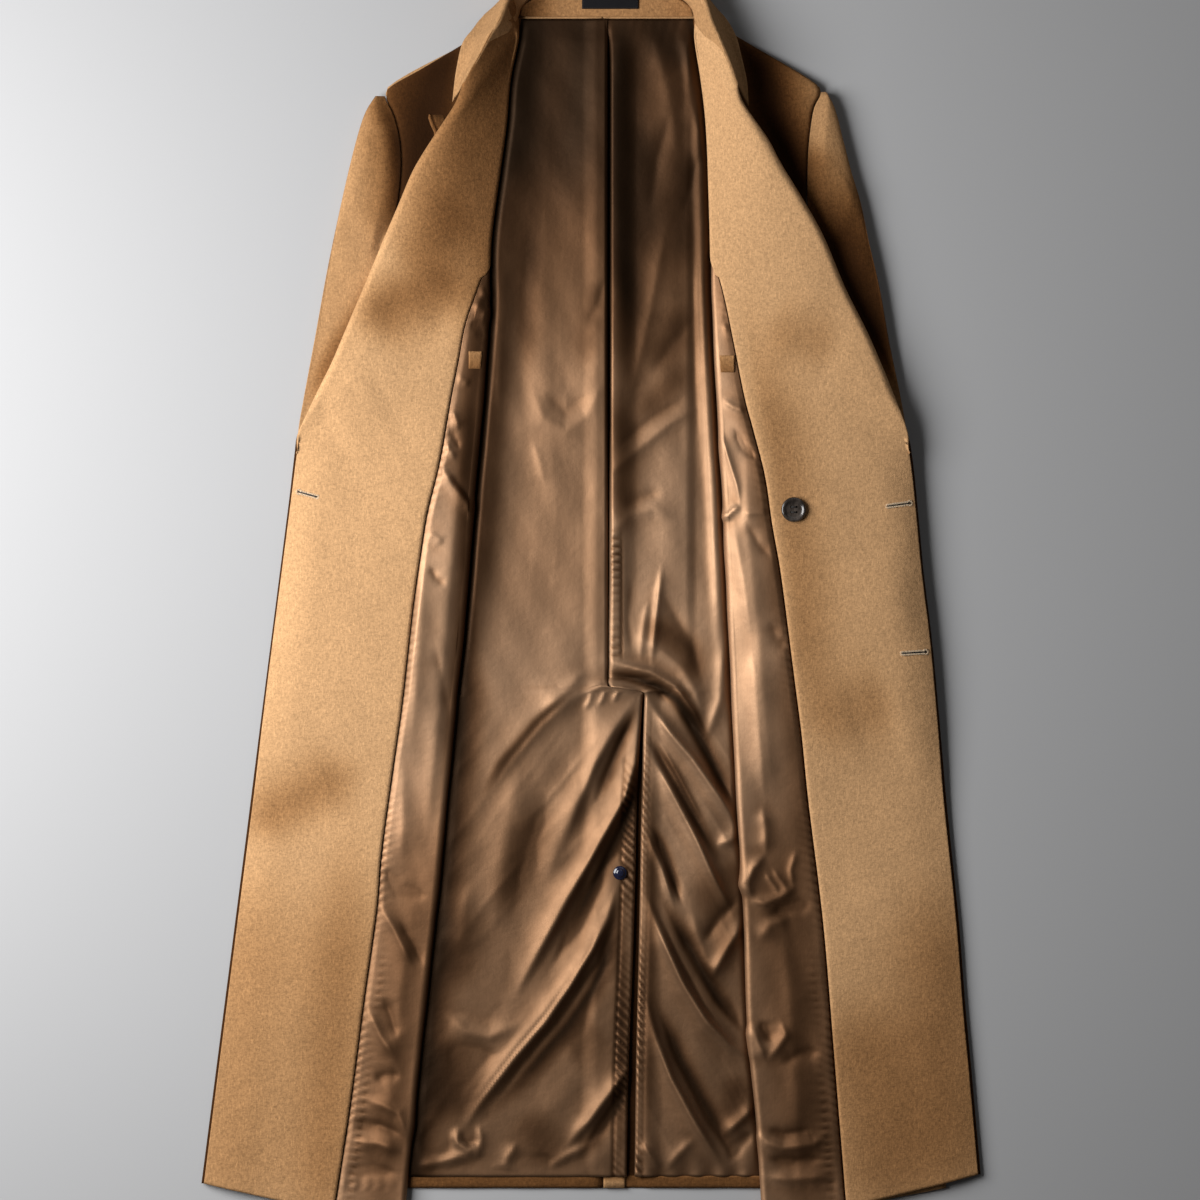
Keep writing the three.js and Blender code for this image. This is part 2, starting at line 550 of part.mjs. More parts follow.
const SLEEVE_COLUMNS = [0, 0.05, 0.15, 0.3, 0.65, 0.85, 0.95, 1];
const makeSleeve = (side) => {
  const top = side.sleeveOut[0].down + 3;
  const downs = [top, top + 9, 118, 138, 165, 204, 232, 256, 280, 306, 345, 420, 560, CUFF_DOWN];
  const shape = (across, down) => {
    const outer = along(side.sleeveOut, down);
    const inner = along(side.sleeveIn, down);
    const width = Math.abs(inner - outer);
    const fromOuter = clamp(Math.abs(across - outer) / Math.min(26, width * 0.7), 0, 1);
    const free = smooth(244, 296, down);
    const fromInner = clamp(Math.abs(across - inner) / 22, 0, 1);
    const round = (t) => Math.sqrt(1 - (1 - t) ** 2);
    return round(fromOuter) * lerp(1, round(fromInner), free);
  };
  const middle = (down) => (heightAt(SLEEVE_TOP, down) + heightAt(SLEEVE_LOW, down)) / 2;
  const topAt = (across, down) => lerp(middle(down) + 1.2, heightAt(SLEEVE_TOP, down), shape(across, down));
  const lowAt = (across, down) => lerp(middle(down) - 1.2, heightAt(SLEEVE_LOW, down), shape(across, down));
  const net = downs.map((down) => SLEEVE_COLUMNS.map((t) => [
    lerp(along(side.sleeveOut, down), along(side.sleeveIn, down), t), down]));
  add(`sleeve_top_${side.name}`, CAMEL, laid(net,
    (a, d) => Math.max(topAt(a, d) - WOOL, middle(d) + 0.2), topAt));
  add(`sleeve_under_${side.name}`, CAMEL_DEEP, laid(net, lowAt,
    (a, d) => Math.min(lowAt(a, d) + WOOL, middle(d) - 0.2)));
};

const backLow = (across, down) => heightAt(NECK_RISE, down);
const makeBack = () => {
  const [shownFrom, ventFrom, shownTo] = [411, 648, 759];
  const [leftEnd, rightStart] = [CENTRE_SEAM - SEAM_GAP / 2, CENTRE_SEAM + SEAM_GAP / 2];
  const hem = (across, down) => {
    const turnedUp = down > HEM_DOWN - HEM_TURN_UP;
    const shown = (across >= shownFrom && across < CENTRE_SEAM) || (across >= ventFrom && across <= shownTo);
    return turnedUp && shown ? HEM_THICKNESS : WOOL;
  };
  const highAt = (a, d) => backLow(a, d) + hem(a, d);
  const leftNet = BACK_ROWS.map((row) => (row.left < shownFrom - 12
    ? [row.left, shownFrom - 6, shownFrom, leftEnd]
    : spread(row.left, leftEnd, 4)).map((a) => [a, row.down]));
  add('back_left', CAMEL_DEEP, laid(leftNet, backLow, highAt));
  const rightNet = BACK_ROWS.map((row) => (row.right > shownTo + 12
    ? [rightStart, ventFrom - 6, ventFrom, shownTo, shownTo + 6, row.right]
    : spread(rightStart, row.right, 6)).map((a) => [a, row.down]));
  add('back_right', CAMEL_DEEP, laid(rightNet, backLow, highAt));
  const ventRows = [696, 760, 840, 920, 1000, 1080, HEM_DOWN];
  const ventNet = ventRows.map((down) => [
    [CENTRE_SEAM + SEAM_GAP * 1.5, down], [along(VENT_EDGE, down) - 1.4, down]]);
  add('vent_facing', CAMEL_DEEP, laid(ventNet, () => WOOL + SEAM_GAP, () => 2 * WOOL + SEAM_GAP));
};

const liningTuck = (down) => lerp(6, LINING_TUCK, smooth(40, 170, down));
const liningHeight = (across, down, onTop) => {
  const foldLeft = along(LEFT.fold, down);
  const foldRight = along(RIGHT.fold, down);
  const clear = smooth(2, 20, across - foldLeft) * smooth(2, 20, foldRight - across);
  const atNeck = smooth(LINING_TOP, LINING_TOP + 30, down);
  const atHem = 1 - smooth(1140, 1172, down);
  const fromStud = Math.hypot(across - STUD_PLACE[0], down - STUD_PLACE[1]);
  const waves = ridge(BACK_FOLDS, across, down) * clear * atNeck * lerp(0.25, 1, atHem)
    * smooth(20, 60, fromStud);
  const overVent = down > 680 ? 2.4 * smooth(580, 598, across) * (1 - smooth(646, 662, across)) : 0;
  const overTuck = onTop && down < 690 ? 1.7 * smooth(582, 598, across) : 0;
  const soft = 1.2 * clear * atNeck * atHem;
  return heightAt(NECK_RISE, down) + WOOL + LINING_GAP + waves * (onTop ? 1 : smooth(609, 620, across))
    + Math.max(overVent, overTuck) + soft * (onTop ? 1 : smooth(609, 620, across));
};
const makeBackLining = () => {
  const tuckAt = (down) => lerp(4.6, -0.6, smooth(610, 660, down));
  const net = (leftEdge, rightEdge) => LINING_ROWS.map((down) => LINING_COLUMNS.map((t) => [
    lerp(leftEdge(down), rightEdge(down), t), down]));
  const leftNet = net(
    (down) => along(LEFT.fold, down) - liningTuck(down),
    (down) => (down < 690 ? PLEAT_ACROSS : along(VENT_EDGE, down)));
  add('lining_back_left', SATIN_BROWN, laid(leftNet, (a, d) => liningHeight(a, d, true),
    (a, d) => liningHeight(a, d, true) + SATIN), 0.4);
  const rightNet = net(
    (down) => (down < 690 ? PLEAT_ACROSS - tuckAt(down) : along(VENT_FAR_EDGE, down)),
    (down) => along(RIGHT.fold, down) + liningTuck(down));
  add('lining_back_right', SATIN_BROWN, laid(rightNet, (a, d) => liningHeight(a, d, false),
    (a, d) => liningHeight(a, d, false) + SATIN), 0.4);
};

const makeCollar = () => {
  const profile = (station) => {
    const s = new THREE.Vector3(station.seamAcross, station.seamDown, station.seamHeight);
    const f = new THREE.Vector3(station.foldAcross, station.foldDown, station.foldHeight);
    const e = new THREE.Vector3(station.leafAcross, station.leafDown, station.leafHeight);
    const up = f.clone().sub(s);
    const away = new THREE.Vector3(up.x, up.y, 0).normalize().multiplyScalar(2.6);
    const leaf = (t) => {
      const p = f.clone().lerp(e, t).addScaledVector(away, 1 - t);
      p.z = lerp(f.z, e.z, 1 - (1 - t) ** 3);
      return p;
    };
    const crown = f.clone().add(away);
    crown.z -= 0.6;
    return [s, s.clone().addScaledVector(up, 0.45), s.clone().addScaledVector(up, 0.85), f, crown,
      leaf(0.14), leaf(0.38), leaf(0.68), e];
  };
  const lines = COLLAR.map(profile).map((line) => line.map((p) => place(p.x, p.y, p.z)));
  const grid = lines.map((line, r) => line.map((point, c) => {
    const across = line[Math.min(line.length - 1, c + 1)].clone().sub(line[Math.max(0, c - 1)]);
    const round = lines[Math.min(lines.length - 1, r + 1)][c].clone()
      .sub(lines[Math.max(0, r - 1)][c]);
    return { point, normal: new THREE.Vector3().crossVectors(round, across).normalize() };
  }));
  add('collar', CAMEL_DEEP, wall(grid, -1.4, 1.4));
};

const makeNeck = () => {
  const rows = table(BACK_OUTLINE, [[-17.2, 596.5, 615.5], [-12, 563, 648], [-2, 542, 670],
    [8, 529, 683], [17.6, 526, 688]]);
  const net = rows.map((row) => spread(0, 1, 7).map((t) => [lerp(row.left, row.right, t), row.down]));
  const low = (a, d) => backLow(a, d) + WOOL + SEAM_GAP;
  add('neck_facing', CAMEL_DEEP, laid(net, low, (a, d) => low(a, d) + WOOL));
  const label = [-14.5, -6, 2, 10].map((down) => [[582, down], [638.7, down]]);
  add('neck_label', LABEL_BLACK, laid(label, (a, d) => low(a, d) + WOOL + SEAM_GAP,
    (a, d) => low(a, d) + WOOL + SEAM_GAP + 1), 0.7);
};

const buttonSolid = (diameter) => {
  const radius = diameter / 2;
  const body = Manifold.cylinder(BUTTON_THICKNESS - 1, radius - 0.8, radius, BUTTON_SIDES)
    .add(Manifold.cylinder(1, radius, radius - 0.9, BUTTON_SIDES).translate([0, 0, BUTTON_THICKNESS - 1]));
  const dish = Manifold.cylinder(1.6, radius - 4.6, radius - 3, BUTTON_SIDES)
    .translate([0, 0, BUTTON_THICKNESS - 1.2]);
  const holes = [[1, 1], [1, -1], [-1, 1], [-1, -1]].map(([x, y]) => Manifold
    .cylinder(8, BUTTON_HOLE_DIAMETER / 2, BUTTON_HOLE_DIAMETER / 2, 6, true)
    .translate([x * BUTTON_HOLE_SPREAD, y * BUTTON_HOLE_SPREAD, 2]));
  return holes.reduce((solid, hole) => solid.subtract(hole), body.subtract(dish));
};

const makeButtons = () => {
  const on = (side, across, down, distance) => {
    const entry = frontEntry(side, down, lineAtAcross(side, down, across));
    return entry.point.clone().addScaledVector(entry.normal, distance);
  };
  const set = (name, diameter, at, flip) => {
    const solid = flip ? buttonSolid(diameter).rotate([180, 0, 0]) : buttonSolid(diameter);
    add(name, HORN_DARK, toGeometry(solid.translate([at.x, at.y, at.z])), 0.35);
  };
  set('button_inner', INNER_BUTTON_DIAMETER, on(RIGHT, 793, 510, FACING_HIGH + 0.6), false);
  [['button_outer_left_1', LEFT, 415, 503], ['button_outer_left_2', LEFT, 397, 655],
    ['button_outer_right_1', RIGHT, 793, 510], ['button_outer_right_2', RIGHT, 808, 655]]
    .forEach(([name, side, across, down]) => set(name, OUTER_BUTTON_DIAMETER,
      on(side, across, down, -WOOL / 2 - 0.9), true));
  const stud = new THREE.LatheGeometry([[0, 0], [7, 0], [7, 1.2], [6, 2.2], [4.4, 2.6], [4, 3.4],
    [2.4, 4.4], [0, 4.7]].map(([r, z]) => new THREE.Vector2(r * STUD_DIAMETER / 14, z)), 24);
  stud.rotateX(Math.PI / 2);
  const at = place(...STUD_PLACE, 0);
  stud.translate(at.x, at.y, liningHeight(STUD_PLACE[0], STUD_PLACE[1], true) + SATIN + STUD_SEAT);
  add('vent_stud', STUD_NAVY, stud, 0.25);
};

const makeTabs = () => {
  [['pocket_tab_left', LEFT, 468.5, 484, 352, 369.5], ['pocket_tab_right', RIGHT, 716, 734.6, 356, 373]]
    .forEach(([name, side, a, b, top, bottom]) => {
      const grid = spread(top, bottom, 3).map((down) => spread(a, b, 3).map((across) => frontEntry(
        side, down, Math.max(2.001, lineAtAcross(side, down, across)))));
      add(name, CAMEL, wall(grid, SATIN_HIGH + 0.5, SATIN_HIGH + 2));
    });
};

makeBack();
makeBackLining();
[LEFT, RIGHT].forEach((side) => {
  makeFront(side);
  makeFrontLining(side);
  makeLapel(side);
  makeSleeve(side);
});
makeCollar();
makeNeck();
makeButtons();
makeTabs();

export default group;
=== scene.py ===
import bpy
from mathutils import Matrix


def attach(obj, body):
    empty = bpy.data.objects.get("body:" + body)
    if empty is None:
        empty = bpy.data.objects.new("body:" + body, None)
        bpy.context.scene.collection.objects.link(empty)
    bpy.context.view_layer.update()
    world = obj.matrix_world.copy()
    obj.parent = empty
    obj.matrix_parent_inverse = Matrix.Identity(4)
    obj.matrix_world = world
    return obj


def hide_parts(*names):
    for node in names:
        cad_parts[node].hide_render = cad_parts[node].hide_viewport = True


bl_info = {
    "name": "Open wool overcoat",
    "version": (1, 0, 0),
    "blender": (4, 5, 0),
    "location": "3D View > Sidebar > Overcoat",
    "description": "Builds a camel wool overcoat laid open on its back, with its satin lining",
    "category": "Object",
}

import math

import bmesh
import bpy
import numpy as np
from mathutils import Vector

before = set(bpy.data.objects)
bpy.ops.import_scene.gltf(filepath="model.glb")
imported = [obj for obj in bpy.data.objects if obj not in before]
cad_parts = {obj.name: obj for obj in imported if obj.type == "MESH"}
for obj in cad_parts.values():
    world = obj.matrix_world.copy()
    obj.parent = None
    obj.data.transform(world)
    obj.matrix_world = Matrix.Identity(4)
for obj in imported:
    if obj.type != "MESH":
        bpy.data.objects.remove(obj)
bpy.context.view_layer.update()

# Places are given on a flat chart in mm: across, down and height above the surface.
MM, TO_MM = 0.001, 1000
CENTRE_ACROSS, CENTRE_DOWN = 591.08, 584.18
WOOL, SATIN, SEAM_GAP = 2.0, 1.0, 0.3
FACING_LOW = WOOL / 2 + 0.45
FACING_HIGH = FACING_LOW + WOOL
SATIN_LOW = WOOL / 2 + 0.4
SATIN_HIGH = SATIN_LOW + SATIN
ROLL_RADIUS, FLAT_END = 4.0, 3.0
UNDER_FOLD, UNDER_SIDE = 5.5, 3.4
RIM_INSET = 4.5
BREAK_START, BREAK_END = 380.0, 438.0
HEM_DOWN, HEM_TURN_UP = 1187.5, 11.5
PLEAT_ACROSS, CENTRE_SEAM, CUFF_DOWN, LINING_TOP = 607.5, 603.0, 715.0, 19.6
STUD_PLACE = (620.0, 872.5)

# Marks down the chart. Below FLARE the rows of the fronts fan out to their own hem.
BACK_TOP, BACK_HEM = -17.6, 1172
FRONT_TOP, FRONT_BOTTOM = 20, 1222
ROLL_TOP, ROLL_EVEN, FLARE = 102, 260, 1000
VENT_TOP, SLIT_TOP = 684, 694
LEAN = 1.15

# The deepest painted shade the cloth can take, and how far a crease reaches in widths of itself.
DEEPEST_PAINTED_SHADE, STROKE_REACH = 0.97, 4.2
RIM_REACH, LATTICE_CELLS = 1.3, 64

# The front lies this much lower, in metres, where the facing covers it at the notch.
FRONT_SINK = 0.0034


def rows(*numbers):
    """A table of pairs: a place down the chart and the value there."""
    return np.array(numbers, float).reshape(-1, 2)


# The lines of each side across the chart, and the way that leads out from the middle.
LEFT = {
    "name": "left",
    "out": -1,
    "edge": rows(95, 463.5, 110, 455, 124, 445, 136, 437, 160, 421.5, 177, 412, 210, 398, 240, 385,
                 283, 367, 310, 355.5, 337, 344, 365, 332, 394, 317.6, 415, 307.5, 436, 298, 452, 295.6,
                 500, 289.8, 700, 264, 1000, 225.3, 1190, 200.8),
    "seam": rows(15, 524.5, 46, 517, 76, 510.5, 128, 505.6, 184, 497.5, 230, 491.8, 260, 488, 287, 478,
                 325, 465, 356, 459, 400, 450.5, 438, 444, 469, 438, 515, 427, 553, 421, 610, 413,
                 706, 402, 800, 388.4, 857, 381, 907, 377, 1003, 363.6, 1106, 350, 1230, 331),
    "fold": rows(15, 524.5, 76, 510.5, 128, 505.6, 230, 491.8, 260, 490, 302, 490, 400, 483,
                 495, 474.5, 610, 465, 744, 451.6, 876, 440, 1010, 424.8, 1144, 411, 1230, 403),
    "body": rows(14, 515, 45, 463, 70, 421, 90, 387.5, 101, 387, 115, 394, 138, 400, 165, 402,
                 208, 398, 250, 388, 280, 374, 310, 352, 335, 327, 440, 312, 600, 299, 800, 279,
                 1000, 260, 1190, 242),
    "sleeve_out": rows(94, 378, 111, 367, 130, 360, 168, 350, 218, 338.7, 275, 327, 337, 315.7,
                       400, 304, 430, 299, 500, 293, 600, 289, 715, 287),
    "sleeve_in": rows(94, 384, 101, 386.4, 115, 393.4, 138, 399.4, 165, 401.4, 208, 397, 250, 385,
                      275, 398, 300, 424, 340, 445, 400, 452, 470, 450, 550, 444, 640, 434, 715, 427),
    "lapel_out": rows(117, 428, 120, 428.4, 128, 431, 136, 434.5, 142, 433.2, 160, 421.5, 177, 412,
                      240, 385, 310, 355.5, 365, 332, 402, 313.8),
    "lapel_in": rows(117, 444, 128, 450, 136, 458, 160, 460, 200, 451, 250, 438, 300, 410,
                     350, 378, 385, 350, 402, 334),
    "lapel_top": 117,
    "hem_edge": 1183,
}
RIGHT = {
    "name": "right",
    "out": 1,
    "edge": rows(95, 735.5, 104, 739.5, 115, 748, 144, 768.4, 166, 780, 200, 801, 237, 822, 291, 845,
                 337, 868, 400, 894.7, 430, 906, 461, 912, 515, 917.6, 572, 923, 637, 931, 718, 938.7,
                 800, 946, 876, 954, 934, 959.7, 1010, 965.5, 1068, 971, 1180, 981),
    "seam": rows(15, 690, 47, 697, 76, 700.8, 127, 706.6, 200, 709.5, 230, 711, 260, 714.8, 295, 724,
                 344, 734, 400, 745, 430, 753, 476, 764.6, 526, 772, 572, 780, 687, 795, 733, 801,
                 800, 808, 896, 820, 953, 825.8, 1068, 835, 1230, 848),
    "fold": rows(15, 690, 76, 700.8, 127, 706.6, 200, 709.5, 260, 711, 300, 711.5, 400, 717,
                 526, 724.4, 649, 730, 800, 737, 903, 743.5, 1030, 748, 1125, 757, 1230, 763),
    "body": rows(14, 698, 45, 750, 70, 793, 88, 819.5, 97, 818, 108, 812.4, 134, 809, 160, 806.9,
                 204, 806, 250, 813, 280, 827, 310, 849, 335, 874, 440, 889, 600, 905, 800, 922,
                 1000, 935, 1190, 946),
    "sleeve_out": rows(90, 824, 107, 833.5, 142, 843, 172, 850.7, 203, 860, 241, 868, 291, 879.5,
                       344, 889, 400, 900.5, 430, 905.5, 500, 911, 600, 914, 715, 916),
    "sleeve_in": rows(90, 821.2, 97, 819.8, 108, 814, 134, 809.6, 160, 807.5, 204, 807, 250, 816,
                      275, 803, 300, 777, 340, 756, 400, 750, 470, 752, 550, 758, 640, 768, 715, 775),
    "lapel_out": rows(128, 757, 144, 768.4, 200, 801, 237, 822, 291, 845, 337, 868, 384, 888),
    "lapel_in": rows(128, 744, 144, 745, 200, 757, 250, 776, 300, 793, 350, 829, 384, 867),
    "lapel_top": 128,
    "hem_edge": 1174,
}
SIDES = (LEFT, RIGHT)

# Height of the upper face of the turned-out fronts at the roll or edge, midway and at the fold.
EDGE_HEIGHT = rows(20, 44, 102, 42, 124, 40, 200, 35.5, 300, 30.5, 350, 29, 400, 27.5, 438, 21.5,
                   480, 17, 600, 15, 700, 13.5, 760, 11, 820, 8.2, 900, 7.2, 1230, 6.8)
MID_HEIGHT = rows(20, 22, 330, 22, 438, 23, 600, 23.4, 680, 22.5, 730, 19.5, 790, 13, 850, 11.2,
                  1230, 10.2)
FOLD_HEIGHT = rows(20, 19, 60, 15, 124, 13.6, 200, 14, 300, 15, 438, 17, 600, 16.6, 800, 14.6,
                   1230, 13)
CHEST_SWELL = rows(14, 0.8, 60, 2.6, 90, 5, 130, 6.4, 190, 6.4, 222, 3.4, 250, 0, 300, 0, 1230, 0)
NECK_RISE = rows(-60, 9, -18, 8, 24, 5, 50, 1.8, 75, 0, 120, 0, 1230, 0)
SLEEVE_TOP = rows(88, 14, 110, 17, 150, 18.5, 200, 17.5, 260, 14.6, 310, 12.4, 360, 11.7, 715, 11.6)
SLEEVE_LOW = rows(88, 6, 120, 3, 200, 2, 232, 4.6, 256, 6.5, 300, 6.4, 715, 6.4)
VENT_EDGE = rows(684, 643.5, 692, 643, 800, 637, 871, 635.5, 960, 633, 1060, 629, 1190, 626.5)
VENT_FAR_EDGE = rows(684, 645, 692, 644.6, 800, 641.4, 871, 640.2, 960, 638.4, 1060, 636, 1190, 634.4)
BACK_LEFT_EDGE = rows(-17.6, 596, -14, 566, -4, 541, 8, 524, 14, 515, 45, 463, 90, 385, 115, 394,
                      165, 401.5, 208, 398, 250, 388, 310, 352, 335, 327, 440, 312, 600, 299,
                      800, 279, 1000, 260, 1187.5, 242.4)
BACK_RIGHT_EDGE = rows(-17.6, 616, -14, 645, -4, 671, 8, 687, 14, 698, 45, 750, 90, 822, 115, 812,
                       165, 807, 208, 806, 250, 813, 310, 849, 335, 874, 440, 889, 600, 905,
                       800, 922, 1000, 935, 1187.5, 946)

# Collar stations: neck seam, top of the fold and edge of the leaf, each across, down, height.
COLLAR = np.array([
    (468.4, 82.6, 39.0, 465, 86, 42.5, 453, 104, 23), (479, 70.0, 37.0, 472, 74, 44, 454.5, 88, 22),
    (488.6, 57.8, 34.2, 480, 61, 44.5, 457, 70, 21.5), (506.6, 38.4, 26.5, 491, 40, 44.5, 462.5, 46, 20),
    (516.5, 25.0, 19.5, 501, 24, 43, 472, 32, 15), (522, 9.0, 13.5, 513, -6, 36, 487, 15, 4.5),
    (539.5, -5.4, 11.8, 534, -32, 27, 514, 12, 2), (569.5, -17.0, 10.9, 566, -47, 21, 560, 10, 1.6),
    (606, -20.2, 10.6, 606, -50.2, 20, 606, 7, 1.6), (642.5, -17.0, 10.9, 646, -47, 21, 651, 10, 1.6),
    (672.5, -5.4, 11.8, 678, -32, 27, 697, 12, 2), (690.6, 9.0, 13.5, 699, -6, 36, 722, 17, 4.5),
    (695.2, 25.0, 19.5, 709, 24, 43, 735, 36, 15), (703.6, 38.6, 26.5, 717, 42, 44.5, 741, 58, 20),
    (717.6, 60.5, 34.2, 726, 63, 44.5, 746, 80, 21.5), (724, 72, 37.0, 731, 76, 44, 747.4, 94, 22),
    (731, 83.4, 39.0, 735, 87, 42.5, 748, 108, 23)]).reshape(-1, 3, 3)

# Creases of the back lining: height, width on the left, width on the right, and the line it follows.
BACK_CREASES = (
    # upper back, left of the pleat
    (2.6, 26, 20, (548, 215, 541, 300, 545, 400, 556, 530)),
    (1.4, 6, 9, (503, 262, 499, 330, 500, 420)),
    (-1.4, 14, 14, (526, 240, 522, 330, 524, 430)),
    (-1.8, 7, 10, (607, 275, 598, 305, 586, 330)),
    (1.6, 10, 7, (531, 384, 544, 420, 566, 431, 586, 416, 603, 384)),
    (-1.5, 8, 9, (545, 392, 566, 412, 590, 392)),
    (0.9, 4, 6, (533, 440, 539, 460, 546, 486)),
    # right of the pleat
    (2.2, 12, 12, (652, 30, 668, 90, 678, 160)),
    (-2.0, 9, 10, (672, 110, 657, 160, 650, 215)),
    (2.4, 9, 12, (690, 92, 698, 130, 694, 165)),
    (-1.6, 6, 8, (700, 155, 692, 180, 684, 215)),
    (1.9, 10, 8, (668, 215, 656, 280, 643, 345, 628, 405)),
    (-2.0, 11, 10, (694, 316, 674, 342, 650, 376)),
    (2.3, 5, 9, (607, 478, 633, 454, 672, 422, 699, 408)),
    (-1.8, 8, 6, (616, 448, 650, 420, 688, 396)),
    (1.8, 7, 8, (608, 538, 630, 516, 654, 508, 676, 520)),
    (-1.4, 6, 7, (622, 508, 640, 498, 664, 492)),
    (3.6, 2.4, 4, (662, 566, 656, 616, 651, 664)),
    (1.6, 3, 4, (648, 600, 643, 630, 640, 660)),
    (-1.6, 5, 6, (632, 575, 628, 620, 632, 655)),
    (1.2, 1.8, 2, (701, 225, 705, 380, 711, 500, 717, 620)),
    (1.1, 1.8, 2, (707, 290, 712, 420, 718, 560)),
    (1.0, 1.6, 2, (695, 240, 698, 360, 703, 470)),
    (3.4, 9, 7, (636, 636, 660, 650, 682, 668, 696, 692, 704, 722)),
    (-2.6, 8, 9, (660, 590, 676, 618, 691, 642, 702, 684)),
    (3.4, 7, 7, (724, 640, 720, 700, 706, 740)),
    # round the top of the vent
    (6.0, 9, 3.5, (606, 660, 628, 666, 652, 672, 676, 686, 694, 712, 706, 738)),
    (-3.6, 4, 5, (606, 672, 630, 679, 652, 686, 672, 704)),
    (3.4, 4, 3, (584, 693, 601, 686, 622, 687, 642, 692)),
    (3.6, 2.4, 3, (641, 692, 652, 690, 664, 692)),
    (1.6, 2, 2.4, (592, 690, 590, 700, 584, 710)),
    (1.6, 2, 2.4, (606, 688, 603, 698, 598, 706)),
    (1.6, 2, 2.4, (620, 688, 616, 696, 612, 702)),
    # left of the vent
    (4.4, 20, 7, (600, 684, 570, 700, 543, 724, 508, 764, 486, 800)),
    (-2.6, 5, 9, (573, 692, 540, 722, 508, 762, 486, 800)),
    (2.0, 8, 8, (588, 668, 566, 690, 542, 712)),
    (5.0, 12, 5, (634, 701, 614, 730, 594, 766, 576, 810, 562, 846)),
    (-3.0, 4, 7, (634, 714, 618, 744, 604, 778, 594, 806)),
    (8.6, 13, 4.5, (638, 716, 635, 763, 626, 796, 600, 842, 566, 902, 536, 958, 516, 996)),
    (-4.6, 4, 9, (640, 776, 624, 824, 598, 880, 570, 934, 548, 972)),
    (9.4, 12, 5, (617, 884, 608, 918, 592, 949, 569, 987, 545, 1022, 514, 1058, 484, 1098, 462, 1132)),
    (-4.6, 4, 11, (616, 904, 600, 962, 572, 1010, 543, 1044, 514, 1080, 482, 1122)),
    (-2.6, 1.8, 2.4, (590, 944, 570, 980, 546, 1014, 514, 1052, 484, 1092, 466, 1118)),
    (3.4, 20, 20, (520, 760, 506, 840, 494, 930)),
    (3.0, 16, 12, (582, 776, 562, 830, 546, 880)),
    (-2.4, 10, 12, (548, 790, 532, 850, 512, 910)),
    (3.4, 9, 10, (446, 1012, 466, 1032, 490, 1036, 522, 1022)),
    (-3.0, 9, 8, (440, 984, 462, 1000, 500, 1004)),
    (-3.0, 8, 8, (446, 1050, 472, 1058, 500, 1052)),
    (5.0, 5, 4, (458, 1126, 458, 1142, 470, 1150, 478, 1140)),
    (3.0, 3, 4, (479, 1124, 481, 1142, 474, 1160)),
    (-3.4, 4, 4, (466, 1128, 470, 1138, 468, 1146)),
    (5.0, 7, 5, (412, 1168, 440, 1162, 474, 1152)),
    (-3.0, 7, 7, (420, 1138, 440, 1144, 456, 1142)),
    (6.0, 9, 4, (631, 1064, 609, 1094, 588, 1122, 567, 1146)),
    (-4.0, 3, 8, (628, 1084, 608, 1114, 588, 1142)),
    (3.0, 4, 5, (504, 1172, 508, 1158, 518, 1142)),
    (3.0, 5, 5, (546, 1170, 566, 1156, 590, 1144)),
    (-2.6, 5, 5, (512, 1166, 530, 1162, 556, 1158)),
    (2.4, 4, 4, (476, 1172, 500, 1166, 540, 1172)),
    (3.0, 14, 14, (470, 880, 458, 960)),
    # fine crests on the large folds
    (1.5, 2.6, 2, (633, 770, 624, 800, 599, 845, 565, 905)),
    (1.5, 2.6, 2, (608, 920, 592, 950, 570, 985, 545, 1018)),
    (1.3, 2.2, 2, (654, 712, 672, 736, 694, 762, 718, 796)),
    (1.3, 2.2, 2, (654, 760, 674, 796, 698, 842, 716, 884)),
    (1.4, 2.2, 2, (656, 926, 680, 978, 704, 1018, 728, 1044)),
    (1.4, 2.2, 2, (652, 1030, 670, 1076, 692, 1118, 716, 1158)),
    # right of the vent
    (7.4, 9, 5, (648, 700, 669, 730, 692, 757, 719, 796, 738, 828)),
    (-4.6, 5, 6, (676, 700, 698, 736, 718, 775, 736, 808)),
    (-4.0, 6, 5, (648, 734, 668, 772, 690, 812, 712, 850)),
    (7.6, 9, 5, (646, 742, 669, 784, 692, 828, 717, 884, 736, 922)),
    (1.6, 2, 2, (656, 736, 680, 778, 704, 824)),
    (4.0, 4, 4, (646, 832, 662, 868, 674, 906)),
    (-4.0, 4, 4, (652, 826, 668, 864, 682, 904)),
    (8.6, 9, 5, (646, 894, 664, 940, 685, 986, 708, 1022, 731, 1046, 750, 1058)),
    (-1.8, 1.8, 1.8, (656, 910, 680, 960, 704, 1004, 726, 1034)),
    (-4.6, 5, 8, (670, 916, 700, 970, 724, 1004, 748, 1034)),
    (7.4, 9, 5, (646, 998, 656, 1036, 672, 1078, 696, 1122, 726, 1172)),
    (-4.4, 4, 8, (658, 1010, 680, 1062, 704, 1108, 734, 1158)),
    (4.6, 6, 5, (744, 818, 738, 836, 716, 846)),
    (5.6, 7, 5, (746, 918, 726, 950, 710, 980)),
    (-3.6, 6, 6, (738, 898, 718, 920, 702, 944)),
    (5.2, 6, 5, (758, 1102, 742, 1118, 722, 1136)),
    (-3.6, 6, 5, (754, 1130, 738, 1146, 728, 1162)),
    (3.4, 4, 4, (641, 1140, 652, 1158, 662, 1172)),
    (2.8, 5, 5, (664, 1172, 680, 1152, 694, 1138)),
    (3.0, 8, 8, (690, 906, 706, 960, 726, 990)),
)
